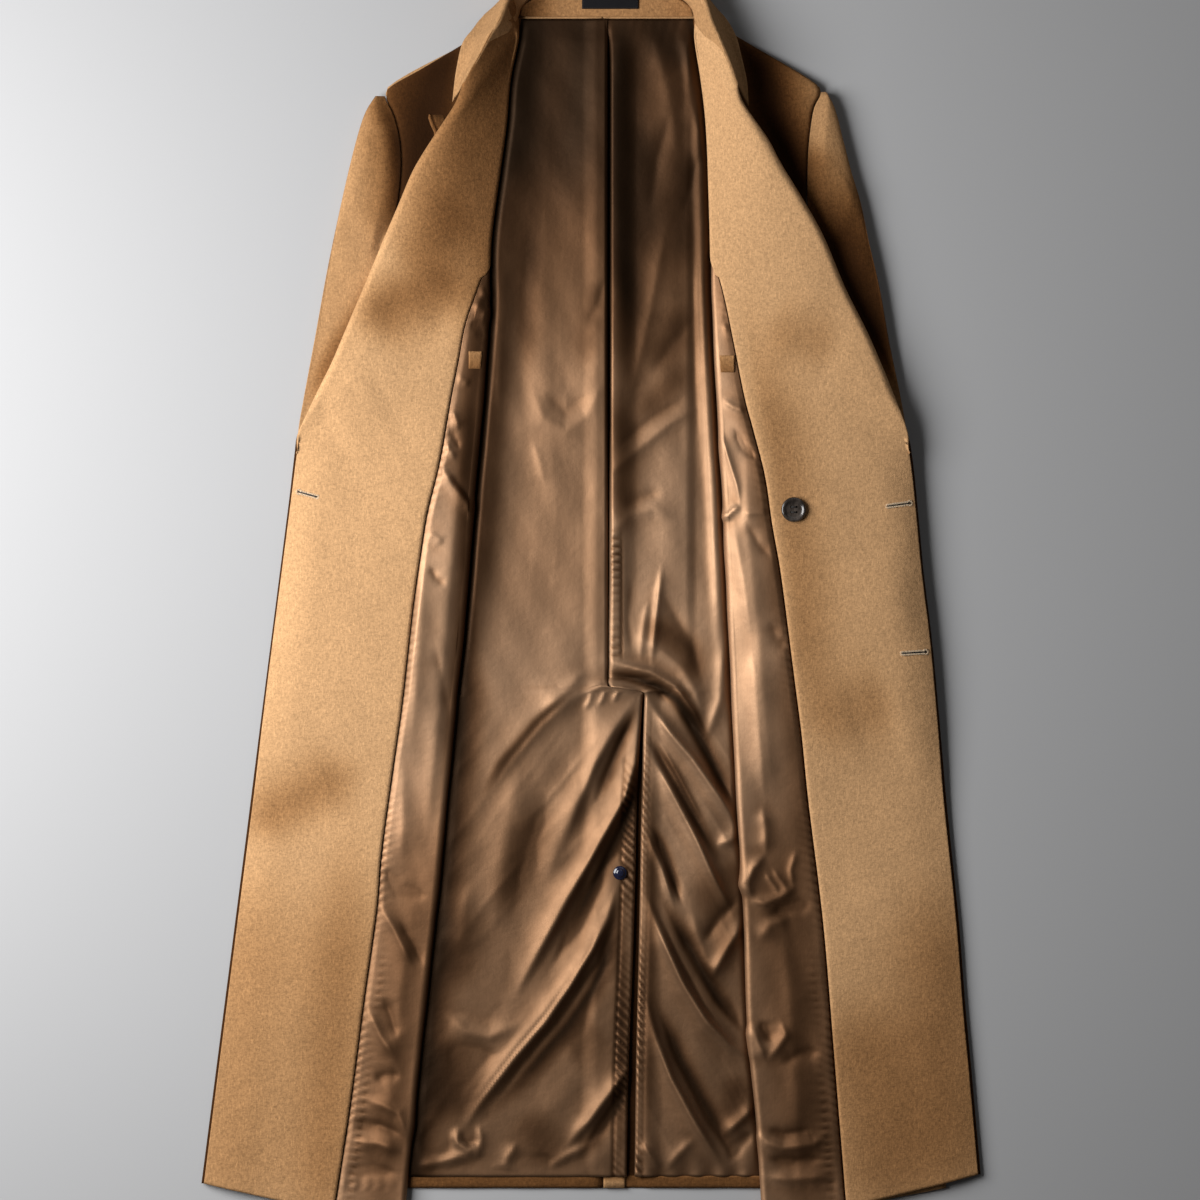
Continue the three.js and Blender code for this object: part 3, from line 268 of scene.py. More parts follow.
FRONT_CREASES = {
    "left": (
        (4.2, 15, 11, (462, 440, 456, 500, 447, 600, 440, 680, 434, 760, 428, 830)),
        (3.2, 16, 13, (414, 900, 400, 1000, 390, 1100, 384, 1190)),
        (2.4, 4, 4, (473, 288, 481, 292, 488, 299)),
        (2.6, 5, 5, (466, 312, 474, 305, 484, 312, 482, 326)),
        (-2.0, 4, 4, (470, 322, 478, 330, 484, 340)),
        (1.8, 3, 3, (455, 378, 462, 380, 470, 386)),
        (2.6, 3, 4, (451, 410, 455, 418, 459, 430)),
        (-2.2, 2.6, 3, (449, 428, 454, 438, 460, 450)),
        (2.4, 3, 3, (444, 440, 449, 450, 456, 460)),
        (4.2, 6, 4, (439, 462, 452, 485, 466, 503, 469, 520)),
        (-2.8, 4, 4, (449, 474, 463, 492, 473, 506)),
        (1.6, 4, 4, (428, 532, 436, 538, 443, 544)),
        (-1.6, 4, 4, (430, 566, 436, 578, 446, 586)),
        (3.0, 12, 10, (425, 560, 418, 660, 412, 740)),
        (-2.4, 8, 8, (434, 645, 442, 680, 448, 716)),
        (2.4, 10, 10, (404, 760, 404, 820, 402, 860)),
        (-3.0, 5, 6, (384, 866, 400, 890, 430, 896)),
        (4.4, 6, 6, (380, 904, 396, 930, 414, 966)),
        (-2.6, 5, 5, (400, 920, 414, 944, 426, 966)),
        (-3.2, 6, 6, (384, 996, 392, 1016, 398, 1038)),
        (4.2, 6, 6, (368, 1006, 382, 1036, 397, 1058)),
        (-3.0, 6, 6, (374, 1080, 386, 1074, 402, 1074)),
        (3.8, 6, 6, (364, 1098, 384, 1104, 400, 1112, 410, 1140)),
        (-3.2, 5, 6, (352, 1124, 380, 1124, 404, 1134)),
        (3.6, 6, 6, (352, 1142, 378, 1142, 404, 1150)),
        (-3.0, 6, 6, (346, 1172, 374, 1168, 400, 1172)),
    ),
    "right": (
        (3.4, 12, 12, (746, 440, 748, 520, 757, 613, 764, 700, 772, 800)),
        (3.2, 14, 14, (782, 920, 790, 1000, 796, 1100, 800, 1190)),
        (2.4, 3, 3, (722, 300, 730, 306, 738, 318)),
        (2.2, 3, 3, (722, 326, 730, 330, 738, 342)),
        (-2.0, 3, 3, (724, 314, 731, 320, 738, 332)),
        (2.6, 3, 4, (722, 400, 734, 408, 748, 413)),
        (2.8, 4, 3, (722, 432, 730, 460, 738, 486, 741, 506)),
        (-2.4, 4, 4, (734, 428, 744, 448, 758, 462)),
        (3.4, 3, 4, (724, 521, 733, 512, 742, 505)),
        (1.8, 2.4, 3, (742, 514, 756, 513, 770, 512)),
        (3.4, 9, 8, (734, 520, 744, 580, 752, 640)),
        (-2.2, 6, 6, (746, 520, 758, 544, 772, 560)),
        (2.6, 8, 8, (752, 640, 758, 720, 764, 800)),
        (-2.0, 8, 8, (770, 620, 776, 640, 790, 648)),
        (3.4, 6, 6, (762, 806, 765, 830, 765, 853)),
        (5.0, 6, 5, (765, 853, 752, 868, 745, 884, 752, 898)),
        (4.6, 5, 5, (748, 900, 764, 902, 780, 896, 797, 884)),
        (1.8, 2, 2.4, (772, 868, 780, 880, 788, 890)),
        (1.8, 2, 2.4, (764, 872, 772, 884, 779, 893)),
        (2.4, 3, 4, (796, 850, 790, 870, 793, 886)),
        (-3.4, 6, 6, (768, 916, 790, 906, 812, 904)),
        (3.4, 8, 8, (758, 940, 770, 924, 790, 916)),
        (4.4, 6, 6, (751, 1022, 757, 1042, 765, 1060)),
        (4.2, 5, 6, (766, 1060, 776, 1048, 785, 1034, 780, 1020)),
        (-3.2, 5, 6, (760, 1020, 766, 1032, 772, 1042)),
        (-3.0, 7, 7, (780, 1064, 800, 1052, 822, 1050)),
        (4.4, 6, 6, (756, 1130, 768, 1142, 782, 1147, 813, 1143, 828, 1132)),
        (-3.0, 5, 5, (766, 1128, 784, 1133, 812, 1128)),
        (-3.4, 5, 6, (766, 1158, 790, 1160, 824, 1158)),
        (3.6, 6, 6, (764, 1176, 790, 1178, 836, 1174)),
    ),
}


def smooth(low, high, value):
    """0 below low, 1 above high and an even rise between them."""
    t = np.clip((np.asarray(value, float) - low) / (high - low), 0, 1)
    return t * t * (3 - 2 * t)


def along(table, down):
    """The value of a table at places down the coat, on a smooth line that never overshoots its rows."""
    x, y = table[:, 0], table[:, 1]
    down = np.clip(np.asarray(down, float), x[0], x[-1])
    step = np.diff(x)
    chord = np.diff(y) / step
    slope = np.empty(len(x))
    slope[1:-1] = (y[2:] - y[:-2]) / (x[2:] - x[:-2])
    slope[0], slope[-1] = chord[0], chord[-1]
    i = np.clip(np.searchsorted(x, down, "right") - 1, 0, len(x) - 2)

    def limited(m, c):
        return np.where(m * c <= 0, 0, np.sign(c) * np.minimum(np.abs(m), 3 * np.abs(c)))

    t = (down - x[i]) / step[i]
    return (y[i] * (1 + 2 * t) * (1 - t) ** 2 + y[i + 1] * t * t * (3 - 2 * t)
            + step[i] * (limited(slope[i], chord[i]) * t * (1 - t) ** 2
                         + limited(slope[i + 1], chord[i]) * t * t * (t - 1)))


def place(across, down, height):
    """Points in metres at places on the chart."""
    across, down, height = np.broadcast_arrays(across, down, height)
    return np.stack([across - CENTRE_ACROSS, CENTRE_DOWN - down, height], -1) * MM


def chart(points):
    """The places across and down the chart of points in metres."""
    return points[..., 0] * TO_MM + CENTRE_ACROSS, CENTRE_DOWN - points[..., 1] * TO_MM


def sharp(offset):
    """The section of a crease: a rounded crest with long flanks."""
    return np.exp(-1.25 * (np.sqrt(offset ** 2 + 0.16) - 0.4))


def soft(offset):
    """The section of a stroke of painted shade."""
    return np.exp(-offset ** 2)


def creases(table, across, down):
    """The height that a table of creases adds at each place: every crease is a ridge or trough."""
    return strokes(table, across, down, sharp, np.add)


def shade(table, across, down):
    """How much painted shade each place gets from a table of soft strokes, 0 to 1."""

    def darken(total, depth):
        return total * (1 - np.minimum(depth, DEEPEST_PAINTED_SHADE))

    return 1 - strokes(table, across, down, soft, darken, 1.0)


def strokes(table, across, down, section, join, first=0.0):
    """Joins all rows of a table: each is a line on the chart with a section that fades at both ends."""
    across, down = np.broadcast_arrays(np.asarray(across, float), np.asarray(down, float))
    total = np.full(across.shape, first)
    for height, left, right, line in table:
        points = np.array(line, float).reshape(-1, 2)
        reach = STROKE_REACH * max(left, right)
        near = ((across > points[:, 0].min() - reach) & (across < points[:, 0].max() + reach)
                & (down > points[:, 1].min() - reach) & (down < points[:, 1].max() + reach))
        if not near.any():
            continue
        a, d = across[near], down[near]
        best = np.full(a.shape, np.inf)
        side, part = np.zeros(a.shape), np.zeros(a.shape)
        lengths = np.hypot(*np.diff(points, axis=0).T)
        whole, start = lengths.sum(), 0.0
        for p, q, length in zip(points[:-1], points[1:], lengths):
            dx, dy = (q - p) / length
            t = np.clip((a - p[0]) * dx + (d - p[1]) * dy, 0, length)
            gap = np.hypot(a - p[0] - t * dx, d - p[1] - t * dy)
            closer = gap < best
            best = np.where(closer, gap, best)
            turn = dy * (a - p[0]) - dx * (d - p[1])
            side = np.where(closer, turn, side)
            part = np.where(closer, (start + t) / whole, part)
            start += length
        ends = smooth(-0.02, 0.3, part) * (1 - smooth(0.7, 1.02, part))
        width = np.where(side > 0, right, left) * (0.6 + 0.4 * ends)
        total[near] = join(total[near], height * (0.05 + 0.95 * ends) * section(best / width))
    return total


def ripple(across, down, sizes):
    """A gentle unevenness from crossing waves: each size is (wavelength, height, direction, phase)."""
    total = 0
    for length, height, turn, phase in sizes:
        total = total + height * np.sin((across * math.cos(turn) + down * math.sin(turn))
                                        * 2 * math.pi / length + phase)
    return total


def lattice(across, down, seed):
    """Smooth noise between 0 and 1 on a lattice one unit wide."""
    n = LATTICE_CELLS
    values = np.random.default_rng(seed).random((n, n))
    i, j = np.floor(across).astype(int), np.floor(down).astype(int)
    u, v = across - i, down - j
    u, v = u * u * (3 - 2 * u), v * v * (3 - 2 * v)
    a, b = values[j % n, i % n], values[j % n, (i + 1) % n]
    c, d = values[(j + 1) % n, i % n], values[(j + 1) % n, (i + 1) % n]
    return (a * (1 - u) + b * u) * (1 - v) + (c * (1 - u) + d * u) * v


def wrinkles(across, down, heading, width, length, seed):
    """Long thin wrinkles that run in one direction (degrees from straight down, to the left), 0 to 1 high."""
    turn = np.radians(heading)
    along_it = -across * np.sin(turn) + down * np.cos(turn)
    over_it = across * np.cos(turn) + down * np.sin(turn)
    bend = 6 * lattice(across / 60, down / 60, seed + 5)
    value = lattice((over_it + bend) / width, along_it / length, seed)
    finer = lattice((over_it + bend) / width * 2.1 + 9, along_it / length * 1.6, seed + 1)
    crest = 1 - np.abs(2 * value - 1)
    return crest ** 2 * 0.75 + (1 - np.abs(2 * finer - 1)) ** 2 * 0.25


def puckers(offset, distance, period, reach, seed):
    """Small pleats beside a seam: offset runs along the seam, distance away from it."""
    uneven = 1.7 * np.sin(offset / (period * 2.3) + seed) + 1.1 * np.sin(offset / (period * 5.1) + 2 * seed)
    strength = 0.55 + 0.45 * np.sin(offset / (period * 3.7) + 3 * seed)
    wave = np.sin(2 * np.pi * offset / period + uneven)
    near = np.exp(-np.clip(distance, 0, None) / reach) * (distance > -0.5)
    return wave * strength * near


def front_rows(side, down):
    """The sizes of each row of the turned-out front.

    Along a row, q is 0 at the side, 1 to 2 round the inner fold, 3 at the start of the roll and 4 at the end.
    """
    down = np.asarray(down, float)
    at_top = ROLL_TOP + (down - FRONT_TOP) * ((ROLL_EVEN - ROLL_TOP) / (ROLL_EVEN - FRONT_TOP))
    below, run = down - FLARE, FRONT_BOTTOM - FLARE
    at_edge = np.where(down < ROLL_EVEN, at_top, down)
    at_edge = np.where(down > FLARE, FLARE + below * (side["hem_edge"] - FLARE) / run, at_edge)
    at_side = np.where(down > FLARE, FLARE + below * (HEM_DOWN - FLARE) / run, down)
    rise = along(NECK_RISE, down)
    under = UNDER_FOLD + rise
    fold_top = along(FOLD_HEIGHT, down)
    radius = (fold_top - FACING_HIGH - under) / 2
    curl = (math.pi / 2) * (1 - smooth(BREAK_START, BREAK_END, at_edge))
    turn = along(side["fold"], down) + side["out"] * (SATIN_HIGH + radius)
    arc = np.maximum(ROLL_RADIUS * curl, FLAT_END)
    curled = curl > 0.01
    roll_radius = np.where(curled, arc / np.where(curled, curl, 1), 0)
    end = along(side["edge"], at_edge) - side["out"] * FACING_HIGH * np.sin(curl)
    roll = end - side["out"] * np.where(curled, roll_radius * np.sin(curl), arc)
    edge_top = along(EDGE_HEIGHT, at_edge)
    lift = np.arctan(1.9 * (edge_top - fold_top) / np.abs(roll - turn)) * curl / (math.pi / 2)
    start = turn - side["out"] * radius * np.sin(lift)
    return {"down": down, "at_edge": at_edge, "at_side": at_side, "rise": rise, "under": under,
            "fold_top": fold_top - radius * (1 - np.cos(lift)), "radius": radius, "curl": curl, "turn": turn,
            "arc": arc, "lift": lift, "start": start, "roll_radius": roll_radius, "roll": roll,
            "body": along(side["body"], at_side), "edge_top": edge_top, "mid_top": along(MID_HEIGHT, down)}


WOOL_SWELLS = {
    "left": (
        (-3.4, 44, 30, (372, 300, 420, 312, 462, 330)),
        (2.4, 40, 40, (330, 430, 390, 400)),
        (1.6, 50, 60, (330, 560, 320, 660)),
        (-1.8, 30, 34, (262, 812, 330, 792)),
        (1.2, 60, 50, (280, 930, 300, 1050)),
        (-1.0, 40, 40, (240, 1120, 320, 1150)),
    ),
    "right": (
        (-1.6, 40, 40, (840, 720, 900, 702)),
        (1.6, 40, 50, (860, 560, 870, 640)),
        (-1.4, 36, 40, (790, 330, 850, 360)),
        (1.4, 50, 50, (890, 860, 900, 1000)),
        (-1.0, 40, 40, (850, 1090, 930, 1080)),
    ),
}


def front_line(side, row, q):
    """Across, down and height of the middle of the wool front at the line's place q."""
    out = side["out"]
    u = np.clip(q, 0, 1)
    base = UNDER_SIDE + row["rise"]
    chest = (base + (row["under"] - base) * smooth(0.6, 1, u)
             + along(CHEST_SWELL, row["down"]) * (1 - smooth(0.04, 0.42, u)))
    across = row["body"] + (row["turn"] - row["body"]) * u
    down = row["at_side"] + (row["down"] - row["at_side"]) * u
    height = chest
    angle = (np.clip(q, 1, 2) - 1) * (math.pi - row["lift"]) - math.pi / 2
    bend = q > 1
    across = np.where(bend, row["turn"] - out * row["radius"] * np.cos(angle), across)
    down = np.where(bend, row["down"], down)
    height = np.where(bend, row["under"] + row["radius"] * (1 + np.sin(angle)), height)
    u = np.clip(q - 2, 0, 1)
    lean = np.where(row["down"] > FLARE, u ** LEAN, u)
    rolled = row["curl"] / (math.pi / 2)
    roll_top = row["fold_top"] + (row["edge_top"] - row["fold_top"]) * (1 - (1 - u) ** 2)
    flat_top = (row["mid_top"] + (row["fold_top"] - row["mid_top"]) * np.clip(1 - u / 0.25, 0, 1) ** 2
                + (row["edge_top"] - row["mid_top"]) * np.clip((u - 0.8) / 0.2, 0, 1) ** 2)
    top = flat_top + (roll_top - flat_top) * rolled
    flat_across = row["start"] + (row["roll"] - row["start"]) * u
    flat_down = row["down"] + (row["at_edge"] - row["down"]) * lean
    swell = creases(WOOL_SWELLS[side["name"]], flat_across, flat_down)
    swell = swell * smooth(0, 0.12, u) * (1 - smooth(0.86, 1, u))
    on_top = q > 2
    across = np.where(on_top, flat_across, across)
    down = np.where(on_top, flat_down, down)
    height = np.where(on_top, top - FACING_HIGH + swell, height)
    angle = np.clip(q - 3, 0, 1) * row["curl"]
    reach = np.where(row["roll_radius"] > 0, row["roll_radius"] * np.sin(angle), row["arc"] * np.clip(q - 3, 0, 1))
    at_end = q > 3
    across = np.where(at_end, row["roll"] + out * reach, across)
    down = np.where(at_end, row["at_edge"], down)
    height = np.where(at_end, row["edge_top"] - FACING_HIGH - row["roll_radius"] * (1 - np.cos(angle)), height)
    return across, down, height


def front_surface(side, down, q):
    """Points in metres and outward directions of the wool front's middle, on a net of places."""
    down, q = np.broadcast_arrays(np.asarray(down, float), np.asarray(q, float))

    def at(step_down, step_q):
        moved = np.clip(down + step_down, FRONT_TOP, FRONT_BOTTOM)
        return place(*front_line(side, front_rows(side, moved), np.clip(q + step_q, 0, 4)))

    points = place(*front_line(side, front_rows(side, down), q))
    ahead, behind = at(0, 0.02), at(0, -0.02)
    lower, upper = at(2, 0), at(-2, 0)
    normals = np.cross(lower - upper, ahead - behind) * side["out"]
    normals /= np.maximum(np.linalg.norm(normals, axis=-1, keepdims=True), 1e-12)
    return points, normals


def line_at(side, down, across):
    """The place q along a row that lies at a place across the chart."""
    row = front_rows(side, down)
    return 2 + np.clip((across - row["start"]) / (row["roll"] - row["start"]), 0, 1)


def seam_line(side, down):
    """Where the facing's inner edge lies along the front's line, row by row."""
    row = front_rows(side, down)
    u = np.zeros_like(row["down"])
    for _ in range(4):
        lean = np.where(row["down"] > FLARE, u ** LEAN, u)
        at = row["down"] + (row["at_edge"] - row["down"]) * lean
        u = np.clip((along(side["seam"], at) - row["start"]) / (row["roll"] - row["start"]), 0, 1)
    wide = np.abs(along(side["seam"], down) - along(side["fold"], down))
    return np.where(wide < 8, np.minimum(1.3 + 0.7 * smooth(0.5, 8, wide), 2 + u), 2 + u)


def from_end(row, inset):
    """The place q that lies a distance inside the end of the front."""
    return np.where(inset <= row["arc"], 4 - inset / row["arc"],
                    3 - (inset - row["arc"]) / np.abs(row["roll"] - row["start"]))


def slit_puckers(down, from_vent, on_top):
    """The gathered strip along the slit: short slanting pleats up to a sewn line."""
    slant = 0.9 if on_top else -0.9
    wave = puckers(down + slant * from_vent, 0 * from_vent, 8.6, 7, 2.1 if on_top else 0.4)
    band = 15 if on_top else 9
    inside = smooth(0, 2, from_vent) * (1 - smooth(band - 3, band, from_vent))
    starts = smooth(740, 800, down) if on_top else smooth(700, 730, down) * (0.5 + 0.5 * smooth(860, 940, down))
    groove = -0.9 * np.exp(-((from_vent - band + 1) / 1.4) ** 2) * (1 if on_top else 0.3)
    return (1.8 * wave * inside + groove) * starts


def pleat_puckers(across, down):
    """The gathered strip beside the foot of the centre pleat."""
    from_pleat = across - 609.5
    wave = puckers(down + 0.3 * from_pleat, 0 * from_pleat, 8.2, 5, 1.1)
    inside = smooth(0.5, 2.5, from_pleat) * (1 - smooth(9, 12, from_pleat))
    groove = -0.8 * np.exp(-((from_pleat - 12) / 1.4) ** 2)
    return (1.8 * wave * inside + groove) * smooth(520, 560, down) * (1 - smooth(648, 664, down))


def lining_height(across, down, on_top):
    """Height of the under face of the back lining."""
    fold_left, fold_right = along(LEFT["fold"], down), along(RIGHT["fold"], down)
    clear = smooth(-2, 9, across - fold_left) * smooth(-2, 5, fold_right - across)
    open_part = smooth(-1, 16, across - fold_left) * smooth(-1, 8, fold_right - across)
    at_neck = smooth(LINING_TOP, LINING_TOP + 26, down)
    at_hem = 1 - smooth(1150, 1176, down)
    from_stud = np.hypot(across - STUD_PLACE[0], down - STUD_PLACE[1])
    waves = creases(BACK_CREASES, across, down) * open_part
    waves = waves + ripple(across, down, ((61, 0.25, 0.3, 1), (37, 0.16, -0.5, 2), (140, 0.5, 0.1, 4)))
    upper_back = 1 - smooth(560, 700, down)
    below_left = smooth(690, 780, down) * (1 - smooth(628, 642, across))
    below_right = smooth(690, 760, down) * smooth(640, 650, across)
    waves = waves + 0.12 * wrinkles(across, down, 2, 21, 190, 11) * upper_back
    waves = waves + 0.6 * wrinkles(across, down, 38, 17, 130, 23) * below_left
    waves = waves + 0.6 * wrinkles(across, down, -32, 15, 120, 37) * below_right
    hung = upper_back * smooth(20, 70, down)
    if on_top:
        near_front = 6.5 * np.exp(-(np.clip(across - fold_left - 5, 0, None) / 17) ** 2)
        to_pleat = (5.6 - 2.6 * smooth(400, 520, down)) * smooth(518 - 0.05 * (down - 300), 606, across) ** 1.3
        waves = waves + (near_front * (0.45 + 0.55 * smooth(180, 300, down)) + to_pleat) * hung
    else:
        by_pleat = 5.0 * (1 - smooth(614, 637, across))
        by_front = 3.8 * np.exp(-((across - fold_right + 9) / 7.0) ** 2)
        middle = 2.4 * smooth(636, 676, across) * (1 - smooth(686, 696, across))
        waves = waves + (by_pleat + by_front + middle) * hung
    waves = waves * clear * (0.15 + 0.85 * at_neck) * (0.35 + 0.65 * at_hem) * smooth(3, 26, from_stud)
    vent_line = along(VENT_EDGE, down) if on_top else along(VENT_FAR_EDGE, down)
    from_vent = np.abs(across - vent_line)
    over_vent = np.where(down > 680, 2.4 * smooth(580, 598, across) * (1 - smooth(646, 662, across)), 0)
    over_tuck = np.where(down < 690, 1.7 * smooth(582, 598, across), 0) if on_top else 0
    base = along(NECK_RISE, down) + WOOL + 0.4 + np.maximum(over_vent, over_tuck)
    loft = 2.2 * clear * at_neck * (0.4 + 0.6 * at_hem)
    keep = 1.0 if on_top else np.where(down < 690, smooth(606, 613, across), 1.0)
    hem_gather = puckers(across, 1176 - down, 21, 10, 1.3) * 1.7 * clear
    neck_gather = puckers(across + 0.25 * down, down - LINING_TOP, 11.5, 13, 0.6)
    neck_gather = neck_gather * smooth(618, 640, across) * clear
    slit = slit_puckers(down, from_vent, on_top) * smooth(6, 16, from_stud)
    edge_roll = -1.6 * (1 - smooth(0, 2.4, from_vent)) * (down > SLIT_TOP)
    least = along(NECK_RISE, down) + WOOL + 0.35 + np.where((down > SLIT_TOP) & (across < 646), 2.3, 0)
    if on_top:
        pleat = 0
        lip = -1.4 * (1 - smooth(0, 3.0, PLEAT_ACROSS - across)) * (down < VENT_TOP)
        least = least + np.where((down < VENT_TOP) & (across > 600), 1.6, 0)
    else:
        pleat = pleat_puckers(across, down)
        lip = 0
    total = base + (np.maximum(waves + loft, -1.6) + hem_gather + neck_gather + slit + pleat) * keep
    return np.maximum(total + lip + edge_roll, least)


# Building meshes

def link(name, data):
    """A new object in the scene with the given data."""
    obj = bpy.data.objects.new(name, data)
    bpy.context.scene.collection.objects.link(obj)
    return obj


def shade_smooth(mesh):
    mesh.polygons.foreach_set("use_smooth", np.ones(len(mesh.polygons), bool))


def new_object(name, points, faces, uv, material):
    """A smooth-shaded object of one material with its flat cloth chart as UV."""
    mesh = bpy.data.meshes.new(name)
    mesh.from_pydata(points.tolist(), [], faces.tolist())
    shade_smooth(mesh)
    layer = mesh.uv_layers.new(name="cloth")
    loops = np.empty(len(mesh.loops), np.int32)
    mesh.loops.foreach_get("vertex_index", loops)
    layer.data.foreach_set("uv", uv[loops].astype(np.float32).ravel())
    mesh.update()
    obj = link(name, mesh)
    mesh.materials.append(material)
    return obj


def cloth(name, points, normals, low, high, material, painted_shade=None):
    """A closed wall of cloth on a net of points, from one distance to another along the directions.

    The rim is rounded. Its point attribute holds the painted shade of each place.
    """
    soft_edge = 0.7
    rows_n, columns_n = points.shape[:2]
    low = np.broadcast_to(np.asarray(low, float), (rows_n, columns_n))
    high = np.broadcast_to(np.asarray(high, float), (rows_n, columns_n))
    step_r = np.linalg.norm(np.diff(points, axis=0), axis=-1)
    step_c = np.linalg.norm(np.diff(points, axis=1), axis=-1)
    run_r = np.concatenate([np.zeros((1, columns_n)), np.cumsum(step_r, 0)])
    run_c = np.concatenate([np.zeros((rows_n, 1)), np.cumsum(step_c, 1)], axis=1)
    to_edge = np.minimum(np.minimum(run_r, run_r[-1] - run_r), np.minimum(run_c, run_c[:, -1:] - run_c)) * TO_MM
    half = (high - low) / 2
    t = np.clip(to_edge / np.maximum(half, 0.01) / RIM_REACH, 0, 1)
    round_off = half * (1 - np.sqrt(1 - (1 - t) ** 2)) * soft_edge
    upper = points + normals * ((high - round_off) * MM)[..., None]
    lower = points + normals * ((low + round_off) * MM)[..., None]
    n = rows_n * columns_n
    index = np.arange(n).reshape(rows_n, columns_n)
    top = np.stack([index[:-1, :-1], index[1:, :-1], index[1:, 1:], index[:-1, 1:]], -1).reshape(-1, 4)
    bottom = top[:, ::-1] + n
    loop = np.concatenate([index[0, :-1], index[:-1, -1], index[-1, :0:-1], index[:0:-1, 0]])
    after = np.roll(loop, -1)
    sides = np.stack([loop, after, after + n, loop + n], -1)
    faces = np.concatenate([top, bottom, sides])
    verts = np.concatenate([upper.reshape(-1, 3), lower.reshape(-1, 3)])
    a, b, c, d = (verts[faces[:, k]] for k in range(4))
    volume = (np.einsum("ij,ij->i", a, np.cross(b, c)) + np.einsum("ij,ij->i", a, np.cross(c, d))).sum()
    if volume < 0:
        faces = faces[:, ::-1]
    flat = np.stack([run_c, run_r], -1).reshape(-1, 2)
    obj = new_object(name, verts, faces, np.concatenate([flat, flat]), material)
    if painted_shade is not None:
        layer = obj.data.attributes.new("painted_shade", "FLOAT", "POINT")
        depth = np.clip(np.broadcast_to(painted_shade, (rows_n, columns_n)), 0, DEEPEST_PAINTED_SHADE).ravel()
        layer.data.foreach_set("value", np.concatenate([depth, depth]).astype(np.float32))
    area = float(np.linalg.norm(np.cross(points[1:, :-1] - points[:-1, :-1],
                                         points[:-1, 1:] - points[:-1, :-1]), axis=-1).sum())
    obj["cut_area"] = area
    obj["cut_size"] = (float(run_c[:, -1].max()), float(run_r[-1].max()))
    return obj


def laid(name, across, down, low, high, material, painted_shade=None):
    """A piece that lies flat: its under and upper heights over a net of places."""
    across, down = np.broadcast_arrays(across, down)
    points = place(across, down, 0)
    normals = np.zeros_like(points)
    normals[..., 2] = 1
    low_h = np.broadcast_to(np.asarray(low, float), across.shape)
    mid = points.copy()
    mid[..., 2] = low_h * MM
    return cloth(name, mid, normals, 0, np.asarray(high, float) - low_h, material, painted_shade)


def declare(obj, nodes):
    """Hangs a cloth piece on the root, hides the solids it stands for and drops the cut size noted on it."""
    width, length = obj["cut_size"]
    area = obj["cut_area"]
    width = max(width, area / length * 1.0005)
    least_share = 0.3
    if area < least_share * width * length:
        width = area / (least_share * length) * 0.99
    del obj["cut_size"]
    del obj["cut_area"]
    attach(obj, "root")
    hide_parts(*nodes)


# Finishes

class Finish:
    """Builds one node material step by step."""

    def __init__(self, name, roughness, base):
        self.material = bpy.data.materials.new(name)
        self.material.use_nodes = True
        self.tree = self.material.node_tree
        self.shader = self.tree.nodes["Principled BSDF"]
        self.shader.inputs["Roughness"].default_value = roughness
        self.shader.inputs["Base Color"].default_value = (*base, 1)
        self.material.diffuse_color = (*base, 1)

    def node(self, kind, settings=None, **inputs):
        """Adds a node. Its sockets are given by name, or by number as i0, i1 and so on."""
        node = self.tree.nodes.new(kind)
        for key, value in (settings or {}).items():
            setattr(node, key, value)
        for key, value in inputs.items():
            numbered = key[0] == "i" and key[1:].isdigit()
            socket = node.inputs[int(key[1:]) if numbered else key.replace("_", " ")]
            if isinstance(value, bpy.types.NodeSocket):
                self.tree.links.new(value, socket)
            else:
                socket.default_value = value
        return node

    def place(self, stretch=(1, 1, 1), turn=0.0, source="Object"):
        coordinates = self.node("ShaderNodeTexCoord")
        return self.node("ShaderNodeMapping", Vector=coordinates.outputs[source], Scale=stretch,
                         Rotation=(0, 0, turn)).outputs[0]

    def noise(self, vector, scale, detail=3.0, roughness=0.55):
        return self.node("ShaderNodeTexNoise", Vector=vector, Scale=scale, Detail=detail,
                         Roughness=roughness).outputs["Fac"]

    def spread(self, value, low, high, to_low=0.0, to_high=1.0):
        return self.node("ShaderNodeMapRange", Value=value, From_Min=low, From_Max=high,
                         To_Min=to_low, To_Max=to_high).outputs["Result"]

    def math(self, operation, a, b, c=0.0):
        return self.node("ShaderNodeMath", {"operation": operation}, i0=a, i1=b, i2=c).outputs[0]

    def mix(self, factor, a, b, blend="MIX"):
        node = self.node("ShaderNodeMix", {"data_type": "RGBA", "blend_type": blend})
        for index, value in ((0, factor), (6, a), (7, b)):
            if isinstance(value, bpy.types.NodeSocket):
                self.tree.links.new(value, node.inputs[index])
            else:
                node.inputs[index].default_value = value if index == 0 else (*value, 1)
        return node.outputs[2]

    def colour(self, value, dark=None):
        """The base colour, with painted shade: darker and more saturated where the shade attribute is high."""
        if dark is not None:
            depth = self.node("ShaderNodeAttribute", {"attribute_name": "painted_shade"}).outputs["Fac"]
            shade_saturation = self.math("MULTIPLY_ADD", depth, 0.75, 1.0)
            value = self.node("ShaderNodeGamma", Color=value, Gamma=shade_saturation).outputs[0]
            value = self.mix(depth, value, dark)
        self.tree.links.new(value, self.shader.inputs["Base Color"])

    def roughness(self, value):
        self.tree.links.new(value, self.shader.inputs["Roughness"])

    def bump(self, height, distance, strength=1.0, under=None):
        node = self.node("ShaderNodeBump", Height=height, Distance=distance, Strength=strength)
        if under is not None:
            self.tree.links.new(under, node.inputs["Normal"])
        self.tree.links.new(node.outputs[0], self.shader.inputs["Normal"])
        return node.outputs[0]

    def set(self, **inputs):
        for key, value in inputs.items():
            self.shader.inputs[key.replace("_", " ")].default_value = value


def times(colour, factor):
    return tuple(c * factor for c in colour)


def toned(colour, tone):
    return tuple(c * t for c, t in zip(colour, tone))
